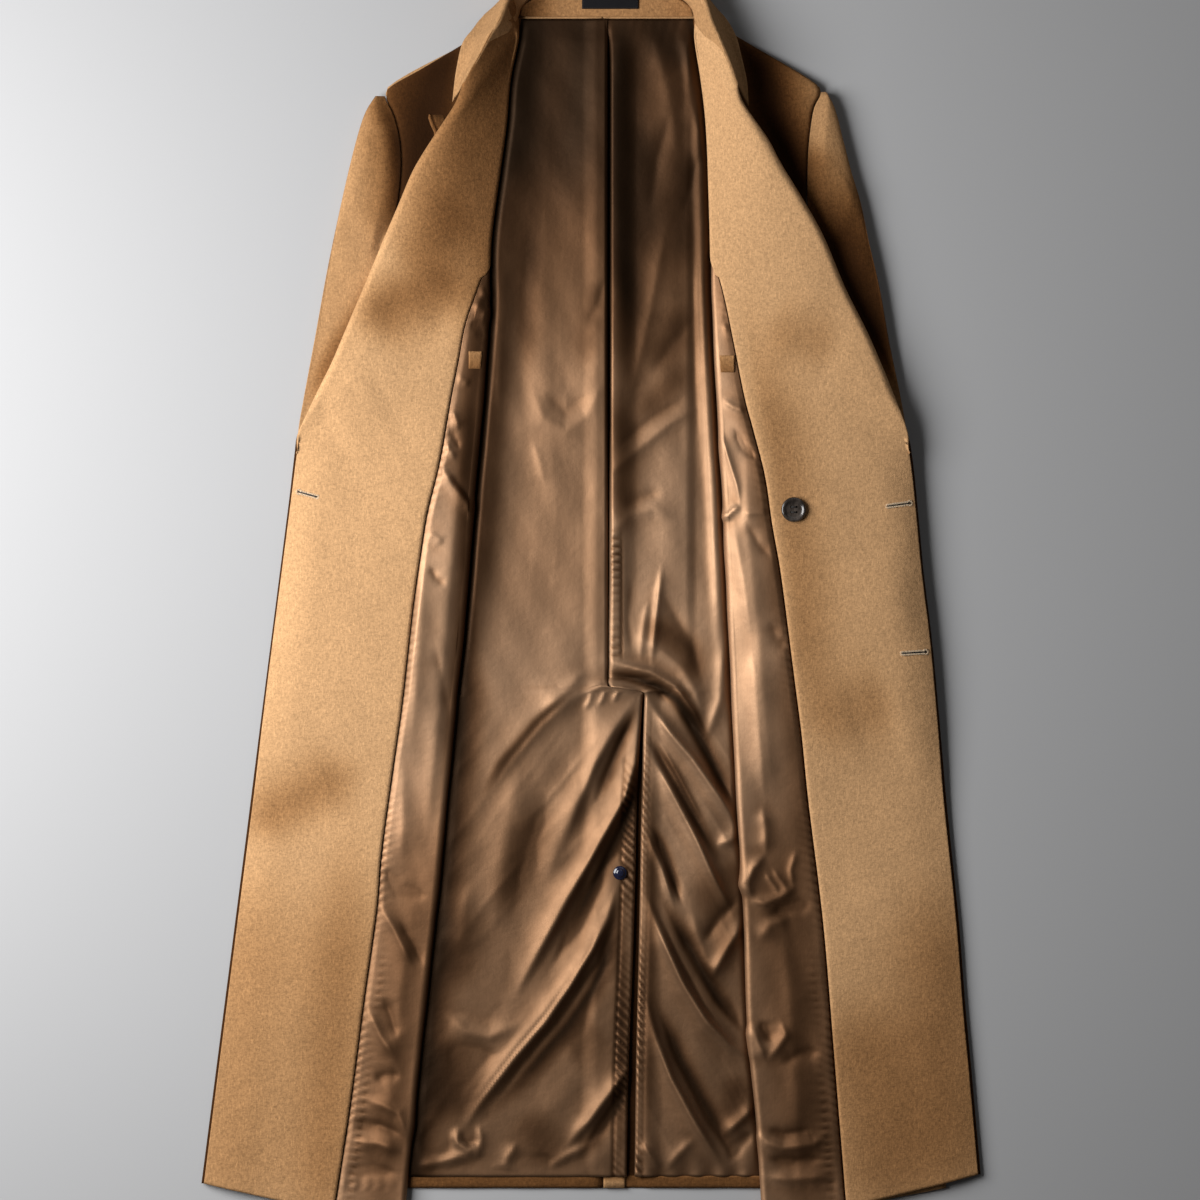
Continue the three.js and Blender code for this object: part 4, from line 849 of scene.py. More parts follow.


# What is left of each colour under the deepest painted shade.
WOOL_PAINTED_SHADE, SATIN_PAINTED_SHADE = (0.045, 0.03, 0.02), (0.045, 0.036, 0.026)


def wool_finish(name, colour, sheen):
    """A felted wool cloth: mixed light and dark fibres, a downward nap and a soft uneven face."""
    f = Finish(name, 0.92, colour)
    where = f.place()
    clouds = f.spread(f.noise(where, 8, 3), 0.3, 0.7)
    blotch = f.spread(f.noise(where, 55, 3), 0.3, 0.7)
    grain = f.noise(where, 360, 5, 0.75)
    nap = f.noise(f.place((1, 0.2, 1), 0.22), 900, 2, 0.6)
    cross = f.noise(f.place((0.25, 1, 1), -0.5), 750, 2, 0.6)
    base = f.mix(clouds, times(colour, 0.94), times(colour, 1.05))
    base = f.mix(f.math("MULTIPLY", blotch, 0.5), base, times(colour, 1.08))
    base = f.mix(f.spread(grain, 0.42, 0.66, 0, 0.75), base, times(colour, 0.6))
    base = f.mix(f.spread(nap, 0.54, 0.72, 0, 0.6), base, times(colour, 1.4))
    base = f.mix(f.spread(cross, 0.56, 0.74, 0, 0.5), base, times(colour, 0.55))
    f.colour(base, toned(colour, WOOL_PAINTED_SHADE))
    felt = f.bump(f.noise(where, 160, 4, 0.6), 0.0011, 0.55)
    fibre = f.math("ADD", nap, f.math("ADD", cross, grain))
    f.bump(fibre, 0.0003, 0.5, felt)
    f.set(Sheen_Weight=sheen, Sheen_Roughness=0.5, Sheen_Tint=(*[min(1, c * 1.6) for c in colour], 1),
          Specular_IOR_Level=0.06)
    return f.material


def satin_finish(name, colour, roughness):
    """A twill-backed satin lining: fine warp lines, soft streaks and a warm smooth shine."""
    f = Finish(name, roughness, colour)
    where = f.place()
    clouds = f.spread(f.noise(where, 14, 3), 0.3, 0.7)
    streak = f.noise(f.place((1, 0.05, 1), 0.03), 900, 3, 0.6)
    thread = f.node("ShaderNodeTexWave", {"wave_type": "BANDS", "bands_direction": "X"}, Vector=where,
                    Scale=480, Distortion=1.2, Detail=1).outputs["Fac"]
    base = f.mix(clouds, times(colour, 0.9), times(colour, 1.08))
    base = f.mix(f.spread(streak, 0.4, 0.7, 0, 0.35), base, times(colour, 0.82))
    base = f.mix(f.spread(thread, 0.2, 0.8, 0, 0.12), base, times(colour, 1.4))
    f.colour(base, toned(colour, SATIN_PAINTED_SHADE))
    f.roughness(f.spread(f.noise(where, 40, 3), 0.3, 0.7, roughness - 0.04, roughness + 0.05))
    soft = f.bump(f.noise(where, 75, 3, 0.5), 0.0009, 0.45)
    warp = f.bump(streak, 0.00006, 0.35, soft)
    f.bump(thread, 0.00005, 0.5, warp)
    f.set(Metallic=0.72, Sheen_Weight=0.03, Sheen_Roughness=0.35, Sheen_Tint=(1, 0.86, 0.7, 1),
          Specular_IOR_Level=0.35, Specular_Tint=(1, 0.84, 0.64, 1))
    return f.material


def label_finish(name, colour):
    """A damask-woven label: fine crossing threads in one dark colour, with nothing on it."""
    f = Finish(name, 0.5, colour)
    warp = f.node("ShaderNodeTexWave", {"wave_type": "BANDS", "bands_direction": "X"}, Vector=f.place(),
                  Scale=520, Distortion=0.6).outputs["Fac"]
    weft = f.node("ShaderNodeTexWave", {"wave_type": "BANDS", "bands_direction": "Y"}, Vector=f.place(),
                  Scale=420, Distortion=0.6).outputs["Fac"]
    woven = f.math("MULTIPLY", warp, weft)
    f.colour(f.mix(f.spread(woven, 0.1, 0.9), times(colour, 0.5), times(colour, 1.5)))
    f.bump(woven, 0.0002, 0.6)
    f.set(Specular_IOR_Level=0.08)
    return f.material


def horn_finish(name, colour):
    """Polished dark horn with lighter streaks."""
    f = Finish(name, 0.22, colour)
    cloud = f.noise(f.place((1, 0.35, 1), 0.6), 160, 5, 0.65)
    fine = f.noise(f.place((1, 0.2, 1), 0.7), 900, 3, 0.6)
    base = f.mix(f.spread(cloud, 0.42, 0.66), times(colour, 0.55), times(colour, 2.0))
    f.colour(f.mix(f.spread(fine, 0.5, 0.75, 0, 0.4), base, times(colour, 2.8)))
    f.roughness(f.spread(cloud, 0.3, 0.7, 0.16, 0.34))
    f.bump(fine, 0.00004, 0.3)
    f.set(Coat_Weight=0.5, Coat_Roughness=0.1)
    return f.material


def lacquer_finish(name, colour):
    """Glossy dark lacquer with a faint speckle."""
    f = Finish(name, 0.16, colour)
    speck = f.noise(f.place(), 700, 3)
    f.colour(f.mix(f.spread(speck, 0.4, 0.7), times(colour, 0.75), times(colour, 1.3)))
    f.roughness(f.spread(speck, 0.3, 0.7, 0.12, 0.22))
    f.bump(speck, 0.00003, 0.3)
    f.set(Coat_Weight=0.6, Coat_Roughness=0.06)
    return f.material


def thread_finish(name, colour):
    """Twisted sewing thread."""
    f = Finish(name, 0.55, colour)
    twist = f.node("ShaderNodeTexWave", {"wave_type": "BANDS", "bands_direction": "DIAGONAL"},
                   Vector=f.place(), Scale=1400, Distortion=0.5).outputs["Fac"]
    f.colour(f.mix(twist, times(colour, 0.7), times(colour, 1.15)))
    f.bump(twist, 0.00008, 0.6)
    f.set(Sheen_Weight=0.05)
    return f.material


def floor_finish(name, colour):
    """A plain matt floor."""
    f = Finish(name, 0.75, colour)
    soft = f.noise(f.place(), 1.5, 2)
    f.colour(f.mix(f.spread(soft, 0.3, 0.7), times(colour, 0.99), colour))
    f.set(Specular_IOR_Level=0.1)
    return f.material


FINISHES = {}


def finish(name):
    """The named finish, made once from the colours in the panel."""
    if name not in FINISHES:
        colours = bpy.context.scene.coat_colours
        make = {
            "wool": lambda: wool_finish("camel wool", times(colours.wool, 1.06), 0.1),
            "facing": lambda: wool_finish("camel wool facing", times(colours.facing, 1.06), 0.1),
            "satin": lambda: satin_finish("brown satin", colours.satin, colours.satin_roughness),
            # The front strips use the lining satin painted a quarter lighter, as painted light.
            "satin painted lighter": lambda: satin_finish("brown satin painted lighter", times(colours.satin, 1.25),
                                                colours.satin_roughness + 0.03),
            "label": lambda: label_finish("woven black", colours.label),
            "horn": lambda: horn_finish("dark horn", colours.horn),
            "stud": lambda: lacquer_finish("navy lacquer", colours.stud),
            "thread": lambda: thread_finish("camel thread", colours.thread),
            "dark thread": lambda: thread_finish("dark thread", times(colours.horn, 0.4)),
            "floor": lambda: floor_finish("pale floor", colours.floor),
        }
        FINISHES[name] = make[name]()
    return FINISHES[name]


# Stitches and other small runs

def stitch_tree():
    """A node group that sets one rounded stitch after another along a path."""
    tree = bpy.data.node_groups.new("stitch run", "GeometryNodeTree")
    tree.is_modifier = True
    face = tree.interface
    face.new_socket("Path", in_out="INPUT", socket_type="NodeSocketGeometry")
    for name, default in (("Spacing", 0.001), ("Along", 0.0004), ("Across", 0.0012), ("Thickness", 0.0004)):
        socket = face.new_socket(name, in_out="INPUT", socket_type="NodeSocketFloat")
        socket.default_value = default
    face.new_socket("Thread", in_out="INPUT", socket_type="NodeSocketMaterial")
    face.new_socket("Stitches", in_out="OUTPUT", socket_type="NodeSocketGeometry")
    nodes, links = tree.nodes, tree.links

    def node(kind, **settings):
        made = nodes.new(kind)
        for key, value in settings.items():
            setattr(made, key, value)
        return made

    start, end = node("NodeGroupInput"), node("NodeGroupOutput")
    curve = node("GeometryNodeMeshToCurve")
    resample = node("GeometryNodeResampleCurve")
    if hasattr(resample, "mode"):
        resample.mode = "LENGTH"
    else:
        resample.inputs["Mode"].default_value = "Length"
    bead = node("GeometryNodeMeshUVSphere")
    bead.inputs["Segments"].default_value = 8
    bead.inputs["Rings"].default_value = 5
    bead.inputs["Radius"].default_value = 0.5
    tangent = node("GeometryNodeInputTangent")
    turn = node("FunctionNodeAlignRotationToVector", axis="X", pivot_axis="Z")
    uneven = node("FunctionNodeRandomValue", data_type="FLOAT")
    uneven.inputs[2].default_value = 0.82
    uneven.inputs[3].default_value = 1.12
    uneven.inputs["Seed"].default_value = 7
    size = node("ShaderNodeCombineXYZ")
    scaled = node("ShaderNodeVectorMath", operation="SCALE")
    place_on = node("GeometryNodeInstanceOnPoints")
    real = node("GeometryNodeRealizeInstances")
    paint = node("GeometryNodeSetMaterial")
    smooth_node = node("GeometryNodeSetShadeSmooth")
    for a, b in (
            (start.outputs["Path"], curve.inputs["Mesh"]),
            (curve.outputs["Curve"], resample.inputs["Curve"]),
            (start.outputs["Spacing"], resample.inputs["Length"]),
            (resample.outputs["Curve"], place_on.inputs["Points"]),
            (bead.outputs["Mesh"], place_on.inputs["Instance"]),
            (tangent.outputs[0], turn.inputs["Vector"]),
            (turn.outputs["Rotation"], place_on.inputs["Rotation"]),
            (start.outputs["Along"], size.inputs["X"]),
            (start.outputs["Across"], size.inputs["Y"]),
            (start.outputs["Thickness"], size.inputs["Z"]),
            (size.outputs[0], scaled.inputs[0]),
            (uneven.outputs[1], scaled.inputs["Scale"]),
            (scaled.outputs[0], place_on.inputs["Scale"]),
            (place_on.outputs[0], smooth_node.inputs["Geometry"]),
            (smooth_node.outputs[0], real.inputs["Geometry"]),
            (real.outputs[0], paint.inputs["Geometry"]),
            (start.outputs["Thread"], paint.inputs["Material"]),
            (paint.outputs[0], end.inputs["Stitches"])):
        links.new(a, b)
    return tree


def stitches(name, paths, spacing, size, material):
    """One mesh of stitches along paths of points, made by the stitch run and then fixed."""
    points, edges = [], []
    for path in paths:
        first = len(points)
        points.extend(tuple(p) for p in path)
        edges.extend((first + i, first + i + 1) for i in range(len(path) - 1))
    mesh = bpy.data.meshes.new(name + " path")
    mesh.from_pydata(points, edges, [])
    carrier = link(name, mesh)
    tree = bpy.data.node_groups.get("stitch run") or stitch_tree()
    modifier = carrier.modifiers.new("stitches", "NODES")
    modifier.node_group = tree
    by_name = {item.name: item.identifier for item in tree.interface.items_tree if item.in_out == "INPUT"}
    for key, value in (("Spacing", spacing), ("Along", size[0]), ("Across", size[1]),
                       ("Thickness", size[2]), ("Thread", material)):
        modifier[by_name[key]] = value
    bpy.context.view_layer.update()
    evaluated = carrier.evaluated_get(bpy.context.evaluated_depsgraph_get())
    made = bpy.data.meshes.new_from_object(evaluated)
    carrier.modifiers.clear()
    carrier.data = made
    made.name = name
    bpy.data.meshes.remove(mesh)
    if not len(made.polygons):
        raise RuntimeError(f"{name} has no stitches")
    return carrier


def tube(points, radius, sides=8):
    """Vertices and faces of a closed round tube along points in metres."""
    points = np.asarray(points, float)
    ahead = np.gradient(points, axis=0)
    ahead /= np.linalg.norm(ahead, axis=1, keepdims=True)
    up = np.array([0.0, 0.0, 1.0]) if abs(ahead[0][2]) < 0.9 else np.array([1.0, 0.0, 0.0])
    first = np.cross(ahead, up)
    first /= np.linalg.norm(first, axis=1, keepdims=True)
    second = np.cross(ahead, first)
    turn = np.linspace(0, 2 * np.pi, sides, endpoint=False)
    ring = (points[:, None] + radius * (first[:, None] * np.cos(turn)[None, :, None]
                                        + second[:, None] * np.sin(turn)[None, :, None]))
    n = len(points)
    faces = []
    for i in range(n - 1):
        for k in range(sides):
            m = (k + 1) % sides
            faces.append((i * sides + k, i * sides + m, (i + 1) * sides + m, (i + 1) * sides + k))
    faces.append(tuple(range(sides - 1, -1, -1)))
    faces.append(tuple(range((n - 1) * sides, n * sides)))
    return ring.reshape(-1, 3), faces


def tubes(name, paths, radius, material):
    """One mesh of round tubes, one along each path."""
    verts, faces = [], []
    for path in paths:
        v, f = tube(path, radius)
        faces.extend(tuple(i + len(verts) for i in face) for face in f)
        verts.extend(map(tuple, v))
    mesh = bpy.data.meshes.new(name)
    mesh.from_pydata(verts, [], faces)
    mesh.materials.append(material)
    shade_smooth(mesh)
    obj = link(name, mesh)
    shape = bmesh.new()
    shape.from_mesh(mesh)
    bmesh.ops.recalc_face_normals(shape, faces=shape.faces)
    shape.to_mesh(mesh)
    shape.free()
    return obj


def lathe(profile, segments, scale=1.0):
    """A closed turned body in bmesh, from a profile of radius and height that ends on the axis."""
    shape = bmesh.new()
    rings = []
    for radius, height in profile:
        count = segments if radius else 1
        rings.append([shape.verts.new((scale * radius * math.cos(2 * math.pi * k / segments),
                                       scale * radius * math.sin(2 * math.pi * k / segments), height * scale))
                      for k in range(count)])
    for a, b in zip(rings[:-1], rings[1:]):
        for k in range(segments):
            m = (k + 1) % segments
            if len(a) == 1:
                shape.faces.new((a[0], b[m], b[k]))
            elif len(b) == 1:
                shape.faces.new((a[k], a[m], b[0]))
            else:
                shape.faces.new((a[k], a[m], b[m], b[k]))
    bmesh.ops.recalc_face_normals(shape, faces=shape.faces)
    return shape


def trim(obj, solid=None):
    """Fixes a trim to the coat, in place of its solid where it has one."""
    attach(obj, "root")
    if solid:
        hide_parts(solid)


# Pieces

def even(low, high, step):
    """Places from low to high, about one step apart."""
    return np.linspace(low, high, max(2, int(round(abs(high - low) / step)) + 1))


def make_back():
    """The two back pieces with their turned-up hem, and the underlap of the vent."""
    down = np.concatenate([even(BACK_TOP, BACK_HEM, 7), [1175.0, 1176.0, 1177.2, 1179, 1182, 1185, HEM_DOWN]])[:, None]
    seam = {side: CENTRE_SEAM + shift + 0 * down for side, shift in (("left", -0.15), ("right", 0.15))}
    turn_line = HEM_DOWN - HEM_TURN_UP
    for side, start, end in (("left", along(BACK_LEFT_EDGE, down), seam["left"]),
                             ("right", seam["right"], along(BACK_RIGHT_EDGE, down))):
        t = even(0, 1, 1 / 44)[None, :]
        across = start + (end - start) * t
        low = along(NECK_RISE, down) + 0 * across
        shown = (smooth(405, 411, across) * (across < CENTRE_SEAM) if side == "left"
                 else smooth(642, 648, across) * (1 - smooth(759, 765, across)))
        turned = smooth(turn_line - 1.2, turn_line + 0.4, down)
        curve = 0.35 * np.sin(across / 9.0 + np.sin(across / 31)) * turned
        high = low + WOOL + (2.3 + curve) * turned * shown
        slit = 0.95 * smooth(694, 704, down) * (1 - smooth(648, 652, across)) * smooth(600, 606, across)
        # Painted shade: the turned-up hem strip and the slit of the vent are darkened.
        painted_shade = np.maximum(0.55 * turned + 0 * across, slit * (1 - turned))
        obj = laid(f"back_{side}_wool", across, down, low, high, finish("wool"), painted_shade)
        declare(obj, [f"back_{side}"])
    down = even(696, HEM_DOWN, 6)[:, None]
    start = CENTRE_SEAM + 0.45
    across = start + (along(VENT_EDGE, down) - 1.4 - start) * even(0, 1, 1 / 10)[None, :]
    # The underlap of the vent carries painted shade, all but at the hem.
    obj = laid("vent_turn_wool", across, down, WOOL + SEAM_GAP, 2 * WOOL + SEAM_GAP, finish("wool"),
               0.9 * (1 - smooth(1172, 1178, down)))
    declare(obj, ["vent_facing"])


def painted_cavity_shade(height, reach, depth, most):
    """How deep each place lies under the mean height round it, from 0 to most; used as painted shade in creases."""
    mean = height
    window = 2 * reach + 1
    for axis in (0, 1):
        padded = np.concatenate([np.repeat(np.take(mean, [0], axis), reach, axis), mean,
                                 np.repeat(np.take(mean, [-1], axis), reach, axis)], axis)
        total = np.cumsum(padded, axis)
        zero = np.zeros_like(np.take(total, [0], axis))
        total = np.concatenate([zero, total], axis)
        n = height.shape[axis]
        mean = (np.take(total, range(window, window + n), axis) - np.take(total, range(n), axis)) / window
    return np.clip((mean - height) / depth, 0, 1) * most


def tuck(down):
    """How far the back lining runs in below the fold of the front."""
    return 6 + 11 * smooth(40, 170, down)


def make_back_lining():
    """The two halves of the satin back lining, the left one folded over the right at the pleat."""
    down = np.concatenate([even(LINING_TOP, VENT_TOP, 2.6), even(685, SLIT_TOP, 0.9),
                           even(696, HEM_DOWN - HEM_TURN_UP + 0.2, 2.6)])[:, None]
    pleat_to_vent = smooth(685.5, 693, down)
    left_end = PLEAT_ACROSS + (along(VENT_EDGE, down) - PLEAT_ACROSS) * pleat_to_vent
    left_start = along(LEFT["fold"], down) - tuck(down)
    t = 1 - even(0, 1, 1 / 100)[None, ::-1] ** 1.25
    across = left_start + (left_end - left_start) * np.sort(t)
    low = lining_height(across, down, True)
    # Each half of the lining carries painted shade.
    obj = laid("lining_left_satin", across, down, low, low + SATIN, finish("satin"),
               lining_painted_shade(across, down, low, True))
    declare(obj, ["lining_back_left"])
    under = 4.6 - 5.2 * smooth(610, 660, down)
    right_start = (PLEAT_ACROSS - under) + (along(VENT_FAR_EDGE, down) - PLEAT_ACROSS + under) * pleat_to_vent
    right_end = along(RIGHT["fold"], down) + tuck(down)
    t = even(0, 1, 1 / 76)[None, :] ** 1.25
    across = right_start + (right_end - right_start) * t
    low = lining_height(across, down, False)
    obj = laid("lining_right_satin", across, down, low, low + SATIN, finish("satin"),
               lining_painted_shade(across, down, low, False))
    declare(obj, ["lining_back_right"])


def q_columns():
    """The places q of the columns of a front."""
    return np.concatenate([even(0, 1, 1 / 26), 1 + even(0, 1, 1 / 12)[1:], 2 + even(0, 1, 1 / 34)[1:],
                           3 + even(0, 1, 1 / 9)[1:]])


def make_fronts():
    """The wool of each front, from the side round the inner fold to the roll."""
    for side in SIDES:
        down = even(FRONT_TOP, FRONT_BOTTOM, 5)[:, None]
        q = q_columns()[None, :]
        points, normals = front_surface(side, down, q)
        across, at = chart(points)
        covered = (1 - smooth(130, 200, at)) * smooth(1.7, 2.4, q)
        points[..., 2] -= FRONT_SINK * covered
        # Painted shade on the chest and on the rim round the fold.
        painted_shade = shade(CHEST_SHADE[side["name"]], across, at) * (q < 1) + 0.85 * smooth(0.95, 1.3, q) * (1 - covered)
        obj = cloth(f"front_{side['name']}_wool", points, normals, -WOOL / 2, WOOL / 2, finish("wool"), painted_shade)
        declare(obj, [f"front_{side['name']}"])


def facing_top(side, points, q):
    """Adds rows above the facing's first row, so that its face runs on up to the collar's fold."""
    extra_rows, eased_rows, calm_rows, beside_roll = 9, 26, 70, 5
    stations = COLLAR[5::-1, 1] if side is LEFT else COLLAR[11:17, 1]
    part = np.clip((q[0] - q[0, 0]) / (3 - q[0, 0]), 0, 1)
    place_on = part * (len(stations) - 1)
    line = np.stack([np.interp(place_on, np.arange(len(stations)), stations[:, k]) for k in range(3)], -1)
    target = place(line[:, 0], line[:, 1], line[:, 2] + 2.2)
    at_roll = int(np.argmin(np.abs(q[0] - 3)))
    rolled = (points[0, at_roll:] - points[0, at_roll]) * 0.2
    target[at_roll:] = target[at_roll] + rolled - np.array([0, 0, 0.0012])
    slope = (points[0] - points[2]) / 2
    extra = []
    for t in np.linspace(1, 1 / extra_rows, extra_rows):
        ease = t * t * (3 - 2 * t)
        reach = np.linalg.norm(target - points[0], axis=1, keepdims=True)
        step = slope / np.maximum(np.linalg.norm(slope, axis=1, keepdims=True), 1e-9) * reach * 0.5
        extra.append(points[0] + (target - points[0]) * (0.5 * t + 0.5 * ease) + step * t * (1 - t) ** 2)
    net = np.concatenate([np.stack(extra), points])
    n = eased_rows
    for _ in range(60):
        net[1:n] = net[1:n] * 0.5 + (net[0:n - 1] + net[2:n + 1]) * 0.25
    calm = (1 - smooth(46, 62, np.arange(calm_rows)))[:, None, None]
    first, last = at_roll - beside_roll, at_roll + beside_roll + 1
    top = net[:calm_rows]
    for _ in range(10):
        middle = (top[:, first - 1:last - 1] + top[:, first + 1:last + 1]) / 2
        top[:, first:last] += 0.6 * calm * (middle - top[:, first:last])
    return net


def grid_normals(points, out):
    """The outward direction at each point of a net."""
    normals = np.cross(np.gradient(points, axis=0), np.gradient(points, axis=1)) * out
    return normals / np.maximum(np.linalg.norm(normals, axis=-1, keepdims=True), 1e-12)


def make_facings():
    """The wide facing of each front, round the roll and up to the collar."""
    for side in SIDES:
        down = even(FRONT_TOP, FRONT_BOTTOM, 2.9)[:, None]
        row = front_rows(side, down)
        start = seam_line(side, down)
        end = from_end(row, RIM_INSET * smooth(BREAK_END - 8, BREAK_END + 30, row["at_edge"]))
        q = start + (3 - start) * even(0, 1, 1 / 44)[None, :]
        q = np.sort(np.concatenate([q, 3 + (end - 3) * even(0, 1, 1 / 10)[None, 1:]], axis=1), axis=1)
        points, normals = front_surface(side, down, q)
        across, at = chart(points)
        life = ripple(across, at, ((95, 0.35, 0.4, 1), (57, 0.22, -0.6, 2), (33, 0.1, 1.1, 0)))
        life = np.clip(life * smooth(2.0, 2.2, q) * (1 - smooth(2.9, 3, q)), -0.3, 0.6)
        points = points + normals * ((FACING_HIGH + life) * MM)[..., None]
        points = facing_top(side, points, q)
        across, at = chart(points)
        # The facing carries painted shade from its table.
        obj = cloth(f"facing_{side['name']}_wool", points, grid_normals(points, side["out"]), -WOOL, 0,
                    finish("facing"), shade(FACING_SHADE[side["name"]], across, at))
        declare(obj, [f"facing_{side['name']}"])


def make_front_linings():
    """The strip of satin between each inner fold and the facing."""
    for side in SIDES:
        down = even(258, FRONT_BOTTOM, 2.5)[:, None]
        seam = np.maximum(2.003, seam_line(side, down) - 0.006)
        t = even(0, 1, 1 / 46)[None, :]
        q = np.concatenate([np.broadcast_to(1.25 + 0.75 * even(0, 1, 1 / 14)[None, :-1], (len(down), 14)),
                            2 + (seam - 2) * t], axis=1)
        points, normals = front_surface(side, down, q)
        across, at = chart(points)
        wide = np.abs(along(side["seam"], at) - along(side["fold"], at))
        from_seam = np.abs(along(side["seam"], at) - across)
        middle = smooth(0, 7, from_seam) * np.where(q < 2, 0.6 + 0.4 * smooth(1.3, 2, q), 1)
        waves = creases(FRONT_CREASES[side["name"]], across, at) * middle
        waves = waves + ripple(across, at, ((47, 0.2, 0.5, 1), (29, 0.14, -0.4, 2))) * middle
        gather = puckers(at + 0.4 * from_seam, from_seam, 8.6, 5, 1.9)
        gather = gather * smooth(262, 300, at) * smooth(10, 16, wide)
        gather = gather * (0.55 + 0.6 * smooth(700, 820, at))
        gather = gather + puckers(at, np.abs(from_seam - 14), 8.0, 4, 0.3) * smooth(930, 1010, at) * 0.9
        hem = puckers(across, HEM_DOWN - at, 14, 8, 0.8) * 0.8 * (q > 2)
        swell = np.maximum(waves + 1.2 * middle * smooth(12, 30, wide) + gather + hem, -0.2)
        # Painted shade in the strip's hollows, from its table, in its gathers and along the seam.
        painted_shade = 1 - (1 - painted_cavity_shade(swell, 5, 4.0, 0.7)) * (1 - shade(STRIP_SHADE[side["name"]], across, at))
        painted_shade = 1 - (1 - painted_shade) * (1 - np.clip(-0.6 * gather, 0, 0.6)) * (1 - 0.12 * np.exp(-(from_seam / 1.6) ** 2))
        obj = cloth(f"lining_front_{side['name']}_satin", points, normals, SATIN_LOW + swell, SATIN_HIGH + swell,
                    finish("satin painted lighter"), painted_shade)
        declare(obj, [f"lining_front_{side['name']}"])


def make_lapels():
    """The lapels, which turn under the roll and lie face down."""
    for side in SIDES:
        last = side["lapel_out"][-1, 0]
        down = even(side["lapel_top"], last, 3.5)[:, None]
        curl = (math.pi / 2) * (1 - smooth(BREAK_START, BREAK_END, down))
        outer, inner = along(side["lapel_out"], down), along(side["lapel_in"], down)
        centre_height = along(EDGE_HEIGHT, down) - FACING_HIGH - ROLL_RADIUS
        centre = outer - side["out"] * (FACING_HIGH + ROLL_RADIUS)
        leaf_start = centre_height - ROLL_RADIUS
        floor = np.maximum(along(SLEEVE_TOP, down), UNDER_SIDE + 1 + along(CHEST_SWELL, down))
        leaf_end = np.maximum(leaf_start - 5, floor + FACING_HIGH + 0.6)
        start = np.maximum(curl, math.pi / 2 * 0.9) + 0.02
        angle = start + (math.pi - start) * even(0, 1, 1 / 12)[None, :]
        t = even(0, 1, 1 / 22)[None, 1:]
        across = np.concatenate([centre + side["out"] * ROLL_RADIUS * np.sin(angle),
                                 centre + (inner - centre) * t], 1)
        height = np.concatenate([centre_height + ROLL_RADIUS * np.cos(angle),
                                 leaf_start + (leaf_end - leaf_start) * t + 0 * inner], 1)
        direction_a = np.concatenate([side["out"] * np.sin(angle), 0 * t + 0 * inner], 1)
        direction_h = np.concatenate([np.cos(angle), -1 + 0 * t + 0 * inner], 1)
        points = place(across, down, height)
        normals = np.stack([direction_a, 0 * direction_a, direction_h], -1)
        # The lapels carry painted shade, deeper near their top.
        obj = cloth(f"lapel_{side['name']}_wool", points, normals, -WOOL / 2, FACING_HIGH, finish("facing"),
                    0.65 * (1 - smooth(136, 170, down)) + 0 * across)
        declare(obj, [f"lapel_{side['name']}"])


# Painted shade on each piece: how deep, the width on either side, and the line it follows.
SLEEVE_SHADE = {
    "left": (
        (0.5, 16, 10, (378, 92, 388, 112, 394, 130)),
        (0.9, 11, 14, (386, 96, 398, 140, 401, 176, 400, 214, 392, 250)),
        (0.3, 22, 20, (376, 100, 384, 150, 388, 200, 376, 250)),
        (0.4, 10, 12, (396, 262, 340, 345, 306, 410)),
    ),
    "right": (
        (0.5, 14, 20, (806, 136, 810, 180, 816, 240)),
        (0.9, 15, 20, (812, 196, 838, 258, 870, 322, 896, 388)),
        (0.55, 30, 34, (836, 170, 858, 240, 884, 320, 904, 410)),
        (0.3, 40, 40, (826, 150, 850, 240, 890, 400)),
    ),
}
CHEST_SHADE = {
    "left": (
        (0.95, 34, 34, (462, -30, 436, 90, 422, 150, 410, 290)),
        (0.72, 60, 60, (420, -60, 410, 100, 404, 320)),
    ),
    "right": (
        (0.96, 30, 30, (742, -20, 772, 112, 794, 166, 822, 270)),
        (0.15, 50, 50, (760, -40, 790, 100, 820, 300)),
    ),
}
FACING_SHADE = {
    "left": (
        (0.5, 36, 12, (530, -90, 512, 40, 503, 130, 494, 240, 484, 400)),
        (0.44, 34, 24, (350, 330, 400, 300, 440, 286, 480, 300)),
        (0.3, 30, 30, (400, 280, 440, 240, 476, 200)),
        (0.5, 44, 30, (486, -60, 478, 60, 456, 170, 430, 300)),
        (0.3, 24, 30, (234, 832, 300, 800, 366, 762)),
        (0.22, 60, 70, (262, 840, 240, 1060, 220, 1280)),
        (0.3, 34, 40, (350, 820, 334, 1050, 316, 1290)),
    ),
    "right": (
        (0.2, 34, 40, (800, 722, 900, 700)),
        (0.3, 50, 60, (925, 860, 940, 1000, 960, 1230)),
        (0.34, 60, 60, (846, 980, 880, 1100, 905, 1240)),
        (0.16, 24, 30, (760, 330, 840, 350)),
        (0.25, 14, 30, (745, 300, 780, 460, 800, 600, 812, 760)),
    ),
}
STRIP_SHADE = {
    "left": (
        (0.8, 13, 12, (500, 200, 482, 320, 470, 420, 462, 560)),
        (0.6, 9, 14, (472, 420, 464, 610, 455, 720, 446, 860)),
        (0.55, 40, 40, (438, 760, 418, 900, 404, 1010, 390, 1120, 374, 1290)),
        (0.6, 14, 14, (456, 760, 446, 960, 436, 1160)),
    ),
    "right": (
        (0.5, 12, 12, (714, 220, 734, 330, 748, 400, 766, 500)),
        (0.5, 14, 16, (752, 400, 776, 540, 790, 680)),
        (0.45, 16, 16, (784, 620, 800, 760, 814, 900)),
        (0.55, 44, 44, (774, 760, 796, 960, 806, 1100, 824, 1290)),
    ),
}
